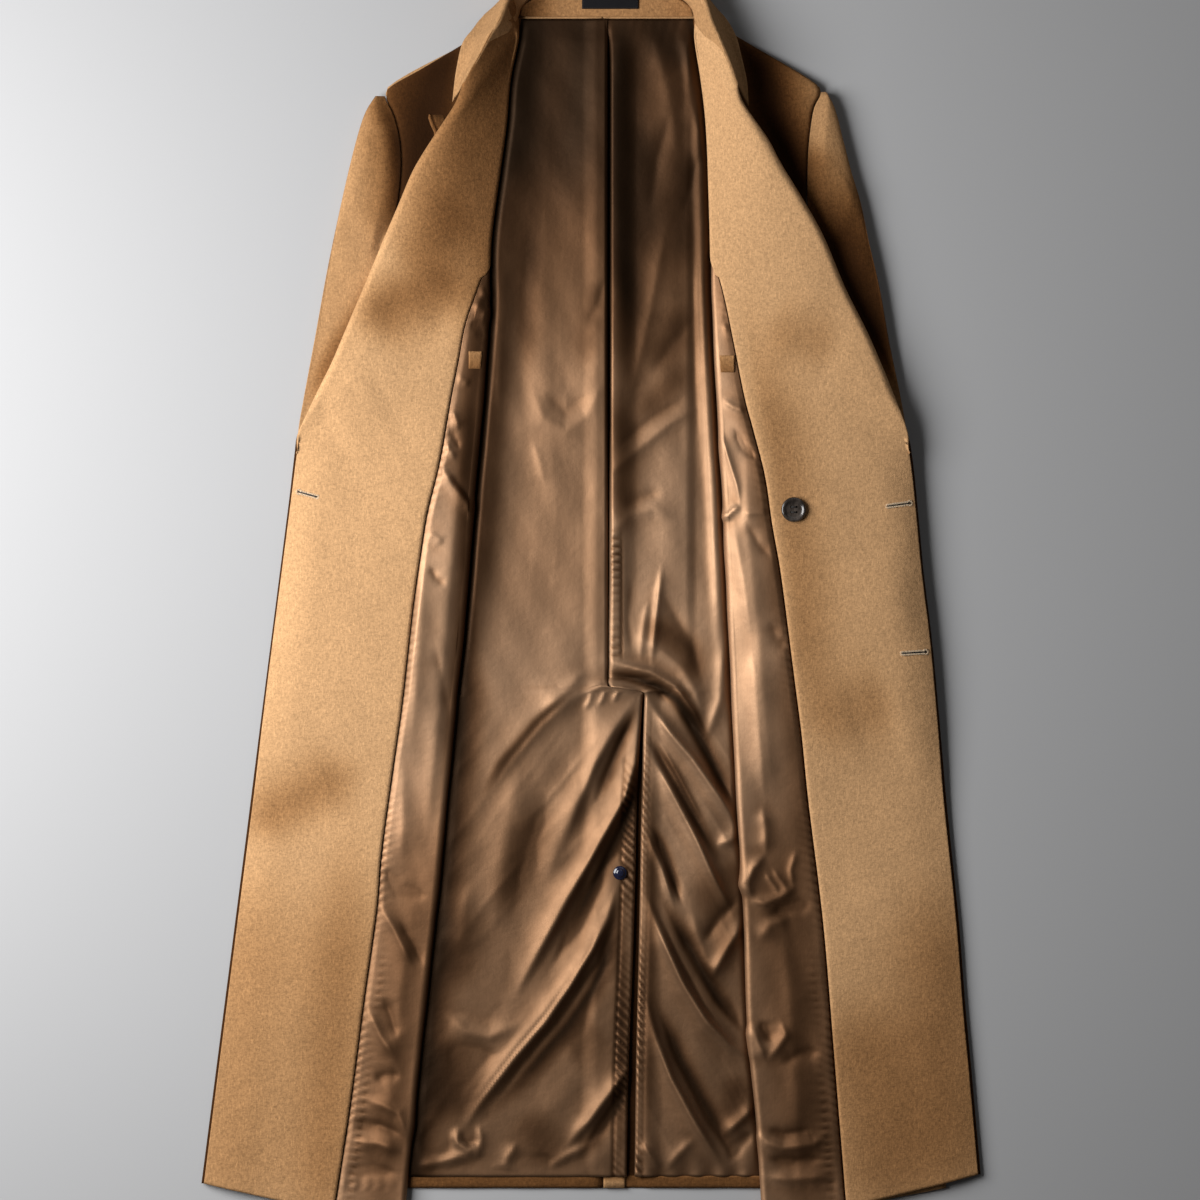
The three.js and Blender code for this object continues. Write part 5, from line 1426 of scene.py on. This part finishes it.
LINING_SHADE = (
    # broad painted shade of the upper back
    (0.95, 40, 34, (528, -60, 522, 60, 516, 130, 508, 220)),
    (0.72, 26, 26, (580, -60, 582, 40, 578, 130, 566, 220)),
    (0.5, 8, 14, (532, 200, 526, 290, 526, 380)),
    (0.4, 16, 10, (506, 300, 496, 400, 488, 520, 476, 640)),
    (0.96, 14, 20, (621, -60, 621, 100, 624, 250, 634, 420)),
    (0.5, 12, 16, (620, 380, 622, 460, 624, 540)),
    (0.75, 26, 22, (650, -60, 662, 40, 690, 62, 700, 90)),
    (0.6, 20, 18, (644, 110, 648, 180, 652, 260)),
    (0.5, 18, 16, (690, 130, 684, 200, 676, 290)),
    (0.5, 20, 16, (684, 300, 676, 340, 652, 372)),
    (0.4, 12, 14, (690, 360, 664, 392, 634, 420)),
    (0.3, 14, 14, (600, 276, 592, 320, 580, 372)),
    (0.92, 3, 2.4, (608, 20, 608, 200, 608, 400, 608, 545)),
    # round the top of the vent
    (0.95, 5, 8, (604, 670, 630, 677, 654, 685, 677, 700, 696, 726, 708, 752)),
    (0.6, 14, 12, (640, 620, 668, 632, 690, 650, 704, 690)),
    (0.8, 4, 6, (637, 704, 624, 732, 610, 768, 600, 800)),
    # left of the vent
    (0.5, 4, 8, (573, 690, 534, 724, 500, 764, 480, 800)),
    (0.9, 4, 9, (639, 748, 634, 792, 622, 828, 600, 870, 576, 918, 556, 958)),
    (0.9, 4, 11, (618, 892, 608, 950, 592, 988, 568, 1024, 542, 1054, 514, 1088, 488, 1114)),
    (0.7, 4, 9, (632, 1080, 614, 1108, 592, 1138, 576, 1160)),
    (0.45, 16, 18, (540, 800, 520, 860, 500, 920)),
    (0.5, 24, 26, (446, 900, 452, 960, 476, 986)),
    (0.7, 30, 34, (430, 1030, 446, 1090, 450, 1130)),
    (0.4, 20, 20, (520, 1110, 540, 1140, 556, 1170)),
    (0.3, 30, 30, (560, 1050, 580, 1040, 600, 1020)),
    (0.35, 14, 14, (480, 660, 468, 720, 458, 790)),
    # right of the vent
    (0.92, 5, 9, (664, 690, 690, 722, 712, 764, 738, 818)),
    (0.75, 4, 6, (652, 738, 676, 776, 698, 822, 722, 868)),
    (0.8, 4, 5, (652, 822, 668, 860, 680, 904)),
    (0.9, 5, 10, (660, 896, 690, 950, 716, 998, 746, 1036)),
    (0.85, 4, 9, (656, 1000, 680, 1060, 706, 1108, 734, 1160)),
    (0.5, 14, 14, (732, 850, 736, 890, 730, 930)),
    (0.5, 14, 14, (738, 1070, 736, 1100, 724, 1130)),
    (0.4, 14, 14, (700, 860, 716, 920, 740, 980)),
    (0.5, 6, 6, (623, 900, 621, 1000, 620, 1100, 619, 1170)),
    (0.5, 6, 6, (652, 760, 651, 900, 649, 1050, 647, 1160)),
)


def lining_painted_shade(across, down, low, on_top):
    """Painted shade of the back lining: beside the turned fronts, at the top and over the lower part, in its hollows,
    under its folds and in its gathers.
    """
    from_left = np.clip(across - along(LEFT["fold"], down), 0, None)
    from_right = np.clip(along(RIGHT["fold"], down) - across, 0, None)
    reach = 6 + 13 * smooth(560, 760, down)
    # Painted shadow of the turned fronts on the lining beside their folds.
    beside = 0.95 * np.exp(-(np.clip(from_left - 4, 0, None) / reach) ** 2) + 0.7 * np.exp(-(from_right / 5) ** 2)
    # Painted shade: darker at the top of the back and over its lower part.
    lower = (0.22 - 0.14 * smooth(630, 650, across) * (1 - smooth(900, 1000, down))) * smooth(640, 860, down)
    upper = np.where(across < PLEAT_ACROSS, 0.16 + 0.6 * (1 - smooth(140, 420, down)),
                     0.66 * (1 - smooth(150, 520, down)))
    upper = upper * (1 - smooth(560, 700, down))
    lower = 1 - (1 - lower) * (1 - upper)
    painted = 1 - (1 - shade(LINING_SHADE, across, down)) * (1 - np.clip(beside, 0, 0.9))
    from_vent = np.abs(across - along(VENT_EDGE if on_top else VENT_FAR_EDGE, down))
    pleats = slit_puckers(down, from_vent, on_top) + (0 if on_top else pleat_puckers(across, down))
    neck_gather = puckers(across + 0.25 * down, down - LINING_TOP, 11.5, 16, 0.6) * smooth(622, 640, across)
    # Painted shade in the gathers.
    gathered = np.clip(-0.5 * pleats, 0, 0.7) + np.clip(-1.6 * neck_gather, 0, 0.7)
    return 1 - (1 - painted) * (1 - painted_cavity_shade(low, 5, 5.0, 0.7)) * (1 - lower) * (1 - gathered)


SLEEVE_CREASES = {
    "left": (
        (2.6, 16, 18, (352, 176, 372, 200, 392, 222)),
        (-2.0, 14, 14, (342, 214, 362, 236, 384, 250)),
        (2.0, 12, 14, (338, 250, 356, 268, 380, 280)),
        (1.8, 12, 16, (372, 120, 380, 150, 388, 180)),
    ),
    "right": (
        (2.6, 16, 18, (852, 178, 834, 204, 818, 222)),
        (-2.0, 14, 14, (862, 216, 846, 236, 826, 250)),
        (2.0, 12, 14, (872, 250, 852, 268, 830, 280)),
    ),
}


def make_sleeves():
    """The upper and under half of each sleeve, flat but for their rounded edges."""
    for side in SIDES:
        top = side["sleeve_out"][0, 0] + 3
        down = even(top, CUFF_DOWN, 5)[:, None]
        t = (0.5 - 0.5 * np.cos(np.pi * even(0, 1, 1 / 44)))[None, :]
        outer, inner = along(side["sleeve_out"], down), along(side["sleeve_in"], down)
        across = outer + (inner - outer) * t
        width = np.abs(inner - outer)
        from_outer = np.clip(np.abs(across - outer) / np.minimum(26, width * 0.7), 0, 1)
        from_inner = np.clip(np.abs(across - inner) / 22, 0, 1)
        free = smooth(244, 296, down)
        round_outer = np.sqrt(1 - (1 - from_outer) ** 2)
        round_inner = np.sqrt(1 - (1 - from_inner) ** 2)
        shape = round_outer * (1 + (round_inner - 1) * free)
        high, low = along(SLEEVE_TOP, down), along(SLEEVE_LOW, down)
        middle = (high + low) / 2
        wave = creases(SLEEVE_CREASES[side["name"]], across, down) * (1 - smooth(0.0, 1.0, 1 - shape))
        upper = middle + 1.2 + (high - middle - 1.2) * shape + np.minimum(wave, 1.6)
        to_seam = np.clip(np.abs(across - inner) / 19, 0, 1)
        seam_top = 2.5 + UNDER_SIDE + along(CHEST_SWELL, down)
        sunk = seam_top + (high - seam_top) * (0.55 * np.sin(np.pi / 2 * to_seam) + 0.45 * smooth(0, 1, to_seam))
        upper = upper + (np.minimum(upper, sunk) - upper) * (1 - smooth(236, 280, down))
        lower = middle - 1.2 + (low - middle + 1.2) * shape
        # Painted shade from the sleeve's table.
        painted_shade = shade(SLEEVE_SHADE[side["name"]], across, down)
        obj = laid(f"sleeve_top_{side['name']}_wool", across, down, np.maximum(upper - WOOL, lower + WOOL + 0.3),
                   np.maximum(upper, lower + 2 * WOOL), finish("wool"), painted_shade)
        declare(obj, [f"sleeve_top_{side['name']}"])
        obj = laid(f"sleeve_under_{side['name']}_wool", across, down, lower, np.minimum(lower + WOOL, middle - 0.2),
                   finish("wool"))
        declare(obj, [f"sleeve_under_{side['name']}"])


def make_collar():
    """The collar as one folded sheet: up from the neck seam, over its crown and down the leaf."""
    station = np.arange(len(COLLAR), dtype=float)
    fine = even(0, len(COLLAR) - 1, 1 / 8)
    s, f, e = (np.stack([along(np.stack([station, COLLAR[:, k, j]], 1), fine) for j in range(3)], -1)
               for k in range(3))
    up = f - s
    away = up * np.array([1, 1, 0])
    away = 2.6 * away / np.linalg.norm(away, axis=1, keepdims=True)
    lines = [s + up * t for t in (0, 0.15, 0.3, 0.45, 0.6, 0.75, 0.86, 0.94, 1.0)]
    crown = f + away - np.array([0, 0, 0.6])
    bulge = f + away * 0.62 + np.array([0, 0, 0.35])
    lines += [bulge, crown]
    for t in (0.05, 0.1, 0.16, 0.24, 0.33, 0.43, 0.54, 0.66, 0.78, 0.89, 1.0):
        point = f + (e - f) * t + away * (1 - t)
        point[:, 2] = f[:, 2] + (e[:, 2] - f[:, 2]) * (1 - (1 - t) ** 3)
        lines.append(point)
    grid = np.stack(lines, 1)
    points = place(grid[..., 0], grid[..., 1], grid[..., 2])
    across = np.gradient(points, axis=1)
    around = np.gradient(points, axis=0)
    normals = np.cross(around, across)
    normals /= np.linalg.norm(normals, axis=-1, keepdims=True)
    obj = cloth("collar_wool", points, normals, -1.4, 1.4, finish("wool"))
    declare(obj, ["collar"])


LABEL_LEFT, LABEL_TOP, LABEL_WIDTH, LABEL_LENGTH = 582, -14.5, 56.7, 24.5
LABEL_RIGHT, LABEL_BOTTOM = LABEL_LEFT + LABEL_WIDTH, LABEL_TOP + LABEL_LENGTH


def label_height(across, down):
    """Height of the label's under face, which swells a little in its middle."""
    base = along(NECK_RISE, down) + 2 * WOOL + 2 * SEAM_GAP
    belly = 0.35 * np.sin(np.pi * (across - LABEL_LEFT) / LABEL_WIDTH)
    return base + 0 * across + belly * np.sin(np.pi * (down - LABEL_TOP) / LABEL_LENGTH)


def make_neck():
    """The piece of wool inside the back neck."""
    edge = rows(-17.2, 595.5, -12, 561, -2, 538, 8, 523, 17.6, 518)
    far = rows(-17.2, 616.5, -12, 650, -2, 674.6, 8, 690.4, 17.6, 694)
    down = even(-17.2, 17.6, 1.6)[:, None]
    t = even(0, 1, 1 / 60)[None, :]
    across = along(edge, down) + (along(far, down) - along(edge, down)) * t
    to_end = np.minimum(across - along(edge, down), along(far, down) - across)
    low = along(NECK_RISE, down) + WOOL + SEAM_GAP + 3.6 * (1 - smooth(0, 15, to_end)) * smooth(-12, 4, down)
    # Painted shade, deeper at the left end and a little at the right end.
    painted_shade = 0.3 + 0.45 * (1 - smooth(524, 562, across)) + 0.15 * smooth(660, 690, across)
    obj = laid("neck_wool", across, down, low, low + WOOL, finish("facing"), painted_shade)
    declare(obj, ["neck_facing"])


def make_label():
    """The bare label and the stitches round it."""
    thickness, inset, lift = 0.8, 1.3, 0.75 + 0.12
    down = even(LABEL_TOP, LABEL_BOTTOM, 1.0)[:, None]
    across = even(LABEL_LEFT, LABEL_RIGHT, 1.2)[None, :]
    low = label_height(across, down)
    label = laid("label_cloth", across, down, low, low + thickness, finish("label"))
    declare(label, ["neck_label"])
    left, right, top, bottom = LABEL_LEFT + inset, LABEL_RIGHT - inset, LABEL_TOP + inset, LABEL_BOTTOM - inset
    corner = [(left, top), (right, top), (right, bottom), (left, bottom)]
    path = []
    for (a0, d0), (a1, d1) in zip(corner, corner[1:] + corner[:1]):
        for t in even(0, 1, 1 / 20)[:-1]:
            a, d = a0 + (a1 - a0) * t, d0 + (d1 - d0) * t
            path.append(place(a, d, label_height(a, d) + lift))
    path.append(path[0])
    run = stitches("label_stitches", [path], 0.0024, (0.0016, 0.0004, 0.00035), finish("dark thread"))
    trim(run)


def over_front(side, across, down, distance):
    """The point at a distance above the middle of the wool front."""
    down = np.array(down, float)
    q = line_at(side, down, across)
    points, normals = front_surface(side, np.atleast_1d(down), np.atleast_1d(q))
    return points[0] + normals[0] * distance * MM


BUTTON_THICKNESS, HOLE_OFFSET, HOLE_RADIUS = 4.2, 2.6, 1.15
THREAD_HEIGHT, THREAD_DIP = 3.3, 2.6


def turned_button(name, diameter, at, flip, material):
    """A lathed button with a raised rim, a dished middle and four drilled holes."""
    r = diameter / 2
    profile = [(0, 0), (r * 0.5, 0), (r - 1.6, 0.15), (r - 0.6, 0.7), (r - 0.12, 1.5), (r, 2.2), (r - 0.1, 3.0),
               (r - 0.5, 3.7), (r - 1.2, 4.1), (r - 2.0, BUTTON_THICKNESS), (r - 2.8, 4.05), (r - 3.5, 3.6),
               (r - 4.4, 3.15), (r - 6.0, 3.0), (2.0, 3.0), (0, 3.0)]
    shape = lathe(profile, 56)
    mesh = bpy.data.meshes.new(name)
    shape.to_mesh(mesh)
    shape.free()
    body = link(name, mesh)
    drills = bmesh.new()
    for x in (-HOLE_OFFSET, HOLE_OFFSET):
        for y in (-HOLE_OFFSET, HOLE_OFFSET):
            made = bmesh.ops.create_cone(drills, cap_ends=True, segments=20, radius1=HOLE_RADIUS,
                                         radius2=HOLE_RADIUS, depth=12)
            bmesh.ops.translate(drills, verts=made["verts"], vec=(x, y, 2))
    drill_mesh = bpy.data.meshes.new("drills")
    drills.to_mesh(drill_mesh)
    drills.free()
    drill = link("drills", drill_mesh)
    cut = body.modifiers.new("holes", "BOOLEAN")
    cut.operation, cut.object, cut.solver = "DIFFERENCE", drill, "EXACT"
    bpy.context.view_layer.update()
    made = bpy.data.meshes.new_from_object(body.evaluated_get(bpy.context.evaluated_depsgraph_get()))
    body.modifiers.clear()
    body.data = made
    made.name = name
    bpy.data.objects.remove(drill)
    co = np.empty(len(made.vertices) * 3)
    made.vertices.foreach_get("co", co)
    co = co.reshape(-1, 3) * MM
    if flip:
        co = co * np.array([1, -1, -1])
    made.vertices.foreach_set("co", (co + at).ravel())
    shade_smooth(made)
    made.set_sharp_from_angle(angle=math.radians(38))
    made.materials.clear()
    made.materials.append(material)
    made.update()
    return body


def button_strand(at, toward, aside):
    """One strand of thread across two holes of a button, with its ends down inside them."""
    line = []
    for s in (-1, -0.97, -0.6, -0.2, 0.2, 0.6, 0.97, 1):
        rise = THREAD_HEIGHT + 0.5 * (1 - s * s) - THREAD_DIP * (abs(s) > 0.99)
        line.append(at + MM * np.array([HOLE_OFFSET * s, aside, toward * rise]))
    return line


# Each button: its solid, side, place across and down, and whether it is on the outside of the front.
BUTTONS = (
    ("button_inner", RIGHT, 793, 510, False),
    ("button_outer_left_1", LEFT, 415, 503, True),
    ("button_outer_left_2", LEFT, 397, 655, True),
    ("button_outer_right_1", RIGHT, 793, 510, True),
    ("button_outer_right_2", RIGHT, 808, 655, True),
)


def make_buttons(sizes):
    """The horn buttons and the threads that hold them."""
    strands = []
    for solid, side, across, down, outside in BUTTONS:
        diameter = (sizes.outer_button if outside else sizes.inner_button) * TO_MM
        distance = -WOOL / 2 - 0.9 if outside else FACING_HIGH + 0.6
        at = over_front(side, across, down, distance)
        trim(turned_button(solid + "_horn", diameter, at, outside, finish("horn")), solid)
        for shift in (-HOLE_OFFSET, HOLE_OFFSET):
            for nudge in (-0.35, 0.35):
                strands.append(button_strand(at, -1 if outside else 1, shift + nudge))
    trim(tubes("button_threads", strands, 0.00038, finish("dark thread")))


# Each buttonhole: its side, its end at the edge of the front and its end inside.
BUTTONHOLES = (
    (LEFT, (299.8, 492.0), (319.2, 497.6)),
    (RIGHT, (908.6, 503.4), (885.5, 506.6)),
    (RIGHT, (924.4, 651.8), (900.0, 653.2)),
)
LIP_OFFSET, EYE_RADIUS, BAR_REACH = 1.45, 2.3, 1.4


def make_buttonholes(sizes):
    """Worked buttonholes: close stitches down both lips, a ring round the eye and a bar at the end."""
    worked, openings = [], []
    for side, outer, inner in BUTTONHOLES:
        outer, inner = np.array(outer), np.array(inner)
        run = inner - outer
        length = np.hypot(*run)
        run = run / length
        aside = np.array([-run[1], run[0]])

        def points(places, lift):
            return [over_front(side, at[0], at[1], FACING_HIGH + lift) for at in places]

        for sign in (-1, 1):
            worked.append(points([outer + run * length * t + aside * sign * LIP_OFFSET
                                  for t in even(0.12, 1, 1 / 14)], 0.35))
        worked.append(points([outer + run * 1.0 + EYE_RADIUS * (run * math.cos(angle) + aside * math.sin(angle))
                              for angle in even(0.55, 2 * math.pi - 0.55, 0.25)], 0.35))
        worked.append(points([inner + run * 0.6 + aside * s for s in (-BAR_REACH, 0, BAR_REACH)], 0.2))
        openings.append(points([outer + run * length * t for t in even(0.0, 0.97, 1 / 12)], 0.1))
    run = stitches("buttonhole_stitches", worked, sizes.stitch_spacing, (0.0007, 0.0024, 0.001), finish("thread"))
    trim(run)
    trim(tubes("buttonhole_openings", openings, 0.00085, finish("dark thread")))


def make_stud(sizes):
    """The turned stud on the slit of the vent, with a wide foot and a small cap."""
    drawn_diameter = 14
    profile = [(0, 0), (3, 0), (5.2, 0.05), (6.6, 0.35), (7, 0.9), (6.9, 1.5), (6.3, 2.1), (5.4, 2.5), (4.7, 2.75),
               (4.35, 3.1), (4.1, 3.6), (3.6, 4.05), (2.6, 4.45), (1.3, 4.65), (0, 4.7)]
    shape = lathe(profile, 64, sizes.stud * TO_MM / drawn_diameter)
    base = lining_height(np.array([STUD_PLACE[0]]), np.array([STUD_PLACE[1]]), True)[0] + SATIN
    at = place(*STUD_PLACE, base + 0.6)
    for vert in shape.verts:
        vert.co = Vector(at) + vert.co * MM
    mesh = bpy.data.meshes.new("stud_navy")
    shape.to_mesh(mesh)
    shape.free()
    shade_smooth(mesh)
    mesh.materials.append(finish("stud"))
    trim(link("stud_navy", mesh), "vent_stud")


def make_tabs():
    """The two small wool tabs on the front linings."""
    for side, left, right, top, bottom in ((LEFT, 468.5, 484, 352, 369.5), (RIGHT, 716, 734.6, 356, 373)):
        down, across = np.broadcast_arrays(even(top, bottom, 0.9)[:, None], even(left, right, 0.9)[None, :])
        q = np.maximum(2.001, line_at(side, down, across))
        points, normals = front_surface(side, down, q)
        part = (down - top) / (bottom - top)
        low = SATIN_HIGH + 0.5 + 0.7 * np.sin(np.pi * (down - top) / (bottom - top))
        solid = f"pocket_tab_{side['name']}"
        # Painted shade, deeper towards the bottom of each tab.
        obj = cloth(solid + "_wool", points, normals, low, low + 1.5, finish("facing"), 0.25 + 0.3 * part)
        declare(obj, [solid])


def make_stage(look):
    """The floor, the room's light, two lamps and the camera straight above."""
    scene = bpy.context.scene
    scene.view_settings.view_transform = "Standard"
    half = 14.0
    mesh = bpy.data.meshes.new("floor")
    mesh.from_pydata([(-half, -half, 0), (half, -half, 0), (half, half, 0), (-half, half, 0)], [], [(0, 1, 2, 3)])
    mesh.materials.append(finish("floor"))
    floor = link("floor", mesh)
    floor.location.z = -0.0004
    world = bpy.data.worlds.new("soft room")
    world.use_nodes = True
    background = world.node_tree.nodes["Background"]
    background.inputs[0].default_value = (1.0, 0.98, 0.97, 1)
    background.inputs[1].default_value = look.fill
    scene.world = world
    for name, where, aim, size, power in (
            ("key", (-1.15, 0.22, 1.05), (0.1, 0.05, 0), 1.2, look.key),
            ("top", (0.6, 1.6, 2.0), (0, 0, 0), 1.6, look.top)):
        data = bpy.data.lights.new(name, "AREA")
        data.shape, data.size, data.energy = "SQUARE", size, power
        light = link(name, data)
        light.location = where
        light.rotation_euler = (Vector(aim) - Vector(where)).to_track_quat("-Z", "Y").to_euler()
    camera_data = bpy.data.cameras.new("camera")
    camera_data.sensor_width, camera_data.lens = 36, 180
    camera_data.clip_end = 50
    camera = link("camera", camera_data)
    middle = place(600, 600, 0)
    camera.location = (middle[0], middle[1], 6.0)
    scene.camera = camera


# Panel settings

class CoatSizes(bpy.types.PropertyGroup):
    """Sizes of the trims."""

    inner_button: bpy.props.FloatProperty(name="Inside button", description="Diameter of the inside button",
                                          default=0.025, unit="LENGTH", subtype="DISTANCE")
    outer_button: bpy.props.FloatProperty(name="Outside button", description="Diameter of the outside buttons",
                                          default=0.028, unit="LENGTH", subtype="DISTANCE")
    stud: bpy.props.FloatProperty(name="Vent stud", description="Diameter of the stud at the vent",
                                  default=0.014, unit="LENGTH", subtype="DISTANCE")
    stitch_spacing: bpy.props.FloatProperty(name="Stitch spacing",
                                            description="Distance between buttonhole stitches",
                                            default=0.00085, unit="LENGTH", subtype="DISTANCE")


def colour_property(name, description, default):
    return bpy.props.FloatVectorProperty(name=name, description=description, default=default, subtype="COLOR",
                                         size=3, min=0, max=1)


class CoatColours(bpy.types.PropertyGroup):
    """Colours of the cloths and trims."""

    wool: colour_property("Wool", "Colour of the outer wool", (0.414, 0.229, 0.103))
    facing: colour_property("Facing", "Colour of the wool facings", (0.555, 0.322, 0.155))
    satin: colour_property("Satin", "Colour of the satin lining", (0.33, 0.196, 0.113))
    satin_roughness: bpy.props.FloatProperty(name="Satin roughness", description="How dull the satin's shine is",
                                             default=0.51, min=0, max=1)
    label: colour_property("Label", "Colour of the woven label", (0.012, 0.011, 0.013))
    horn: colour_property("Horn", "Colour of the buttons", (0.035, 0.027, 0.022))
    stud: colour_property("Stud", "Colour of the vent stud", (0.012, 0.014, 0.035))
    thread: colour_property("Thread", "Colour of the buttonhole thread", (0.86, 0.66, 0.44))
    floor: colour_property("Floor", "Colour of the floor", (0.43, 0.43, 0.435))


class CoatLight(bpy.types.PropertyGroup):
    """Strength of the lights."""

    key: bpy.props.FloatProperty(name="Key light", description="Power of the light at the left", default=44,
                                 min=0, unit="POWER")
    top: bpy.props.FloatProperty(name="Top light", description="Power of the weak light from above", default=3,
                                 min=0, unit="POWER")
    fill: bpy.props.FloatProperty(name="Fill", description="Brightness of the room", default=0.035, min=0)


class COAT_OT_stage(bpy.types.Operator):
    """Make the floor, the lights and the camera"""

    bl_idname = "coat.stage"
    bl_label = "Stage"

    def execute(self, context):
        make_stage(context.scene.coat_light)
        return {"FINISHED"}


class COAT_OT_back(bpy.types.Operator):
    """Make the two back pieces and the turned edge of the vent"""

    bl_idname = "coat.back"
    bl_label = "Back"

    def execute(self, context):
        make_back()
        return {"FINISHED"}


class COAT_OT_back_lining(bpy.types.Operator):
    """Make the creased satin lining of the back"""

    bl_idname = "coat.back_lining"
    bl_label = "Back lining"

    def execute(self, context):
        make_back_lining()
        return {"FINISHED"}


class COAT_OT_fronts(bpy.types.Operator):
    """Make the wool fronts"""

    bl_idname = "coat.fronts"
    bl_label = "Fronts"

    def execute(self, context):
        make_fronts()
        return {"FINISHED"}


class COAT_OT_facings(bpy.types.Operator):
    """Make the wide wool facings"""

    bl_idname = "coat.facings"
    bl_label = "Facings"

    def execute(self, context):
        make_facings()
        return {"FINISHED"}


class COAT_OT_front_linings(bpy.types.Operator):
    """Make the satin strips inside the fronts"""

    bl_idname = "coat.front_linings"
    bl_label = "Front linings"

    def execute(self, context):
        make_front_linings()
        return {"FINISHED"}


class COAT_OT_lapels(bpy.types.Operator):
    """Make the lapels tucked under the roll"""

    bl_idname = "coat.lapels"
    bl_label = "Lapels"

    def execute(self, context):
        make_lapels()
        return {"FINISHED"}


class COAT_OT_sleeves(bpy.types.Operator):
    """Make the sleeves that lie inside the fold"""

    bl_idname = "coat.sleeves"
    bl_label = "Sleeves"

    def execute(self, context):
        make_sleeves()
        return {"FINISHED"}


class COAT_OT_collar(bpy.types.Operator):
    """Make the collar"""

    bl_idname = "coat.collar"
    bl_label = "Collar"

    def execute(self, context):
        make_collar()
        return {"FINISHED"}


class COAT_OT_neck(bpy.types.Operator):
    """Make the neck piece and its bare label"""

    bl_idname = "coat.neck"
    bl_label = "Neck"

    def execute(self, context):
        make_neck()
        make_label()
        return {"FINISHED"}


class COAT_OT_buttons(bpy.types.Operator):
    """Make the horn buttons and their thread"""

    bl_idname = "coat.buttons"
    bl_label = "Buttons"

    def execute(self, context):
        make_buttons(context.scene.coat_sizes)
        return {"FINISHED"}


class COAT_OT_buttonholes(bpy.types.Operator):
    """Work the buttonholes"""

    bl_idname = "coat.buttonholes"
    bl_label = "Buttonholes"

    def execute(self, context):
        make_buttonholes(context.scene.coat_sizes)
        return {"FINISHED"}


class COAT_OT_stud(bpy.types.Operator):
    """Make the stud at the vent"""

    bl_idname = "coat.stud"
    bl_label = "Vent stud"

    def execute(self, context):
        make_stud(context.scene.coat_sizes)
        return {"FINISHED"}


class COAT_OT_tabs(bpy.types.Operator):
    """Make the two small wool tabs"""

    bl_idname = "coat.tabs"
    bl_label = "Pocket tabs"

    def execute(self, context):
        make_tabs()
        return {"FINISHED"}


OPERATORS = (
    COAT_OT_stage, COAT_OT_back, COAT_OT_back_lining, COAT_OT_fronts, COAT_OT_facings,
    COAT_OT_front_linings, COAT_OT_lapels, COAT_OT_sleeves, COAT_OT_collar, COAT_OT_neck,
    COAT_OT_buttons, COAT_OT_buttonholes, COAT_OT_stud, COAT_OT_tabs,
)


class COAT_PT_panel(bpy.types.Panel):
    """All settings and one button for each step."""

    bl_label = "Overcoat"
    bl_idname = "COAT_PT_panel"
    bl_space_type = "VIEW_3D"
    bl_region_type = "UI"
    bl_category = "Overcoat"

    def draw(self, context):
        for group in (context.scene.coat_sizes, context.scene.coat_colours, context.scene.coat_light):
            for key in group.__annotations__:
                self.layout.prop(group, key)
        for made in OPERATORS:
            self.layout.operator(made.bl_idname)


CLASSES = (CoatSizes, CoatColours, CoatLight, *OPERATORS, COAT_PT_panel)


def register():
    for made in CLASSES:
        bpy.utils.register_class(made)
    bpy.types.Scene.coat_sizes = bpy.props.PointerProperty(type=CoatSizes)
    bpy.types.Scene.coat_colours = bpy.props.PointerProperty(type=CoatColours)
    bpy.types.Scene.coat_light = bpy.props.PointerProperty(type=CoatLight)


def unregister():
    del bpy.types.Scene.coat_sizes, bpy.types.Scene.coat_colours, bpy.types.Scene.coat_light
    for made in reversed(CLASSES):
        bpy.utils.unregister_class(made)


def main():
    register()
    for made in OPERATORS:
        getattr(bpy.ops.coat, made.bl_idname.split(".")[1])()


if __name__ == "__main__":
    main()
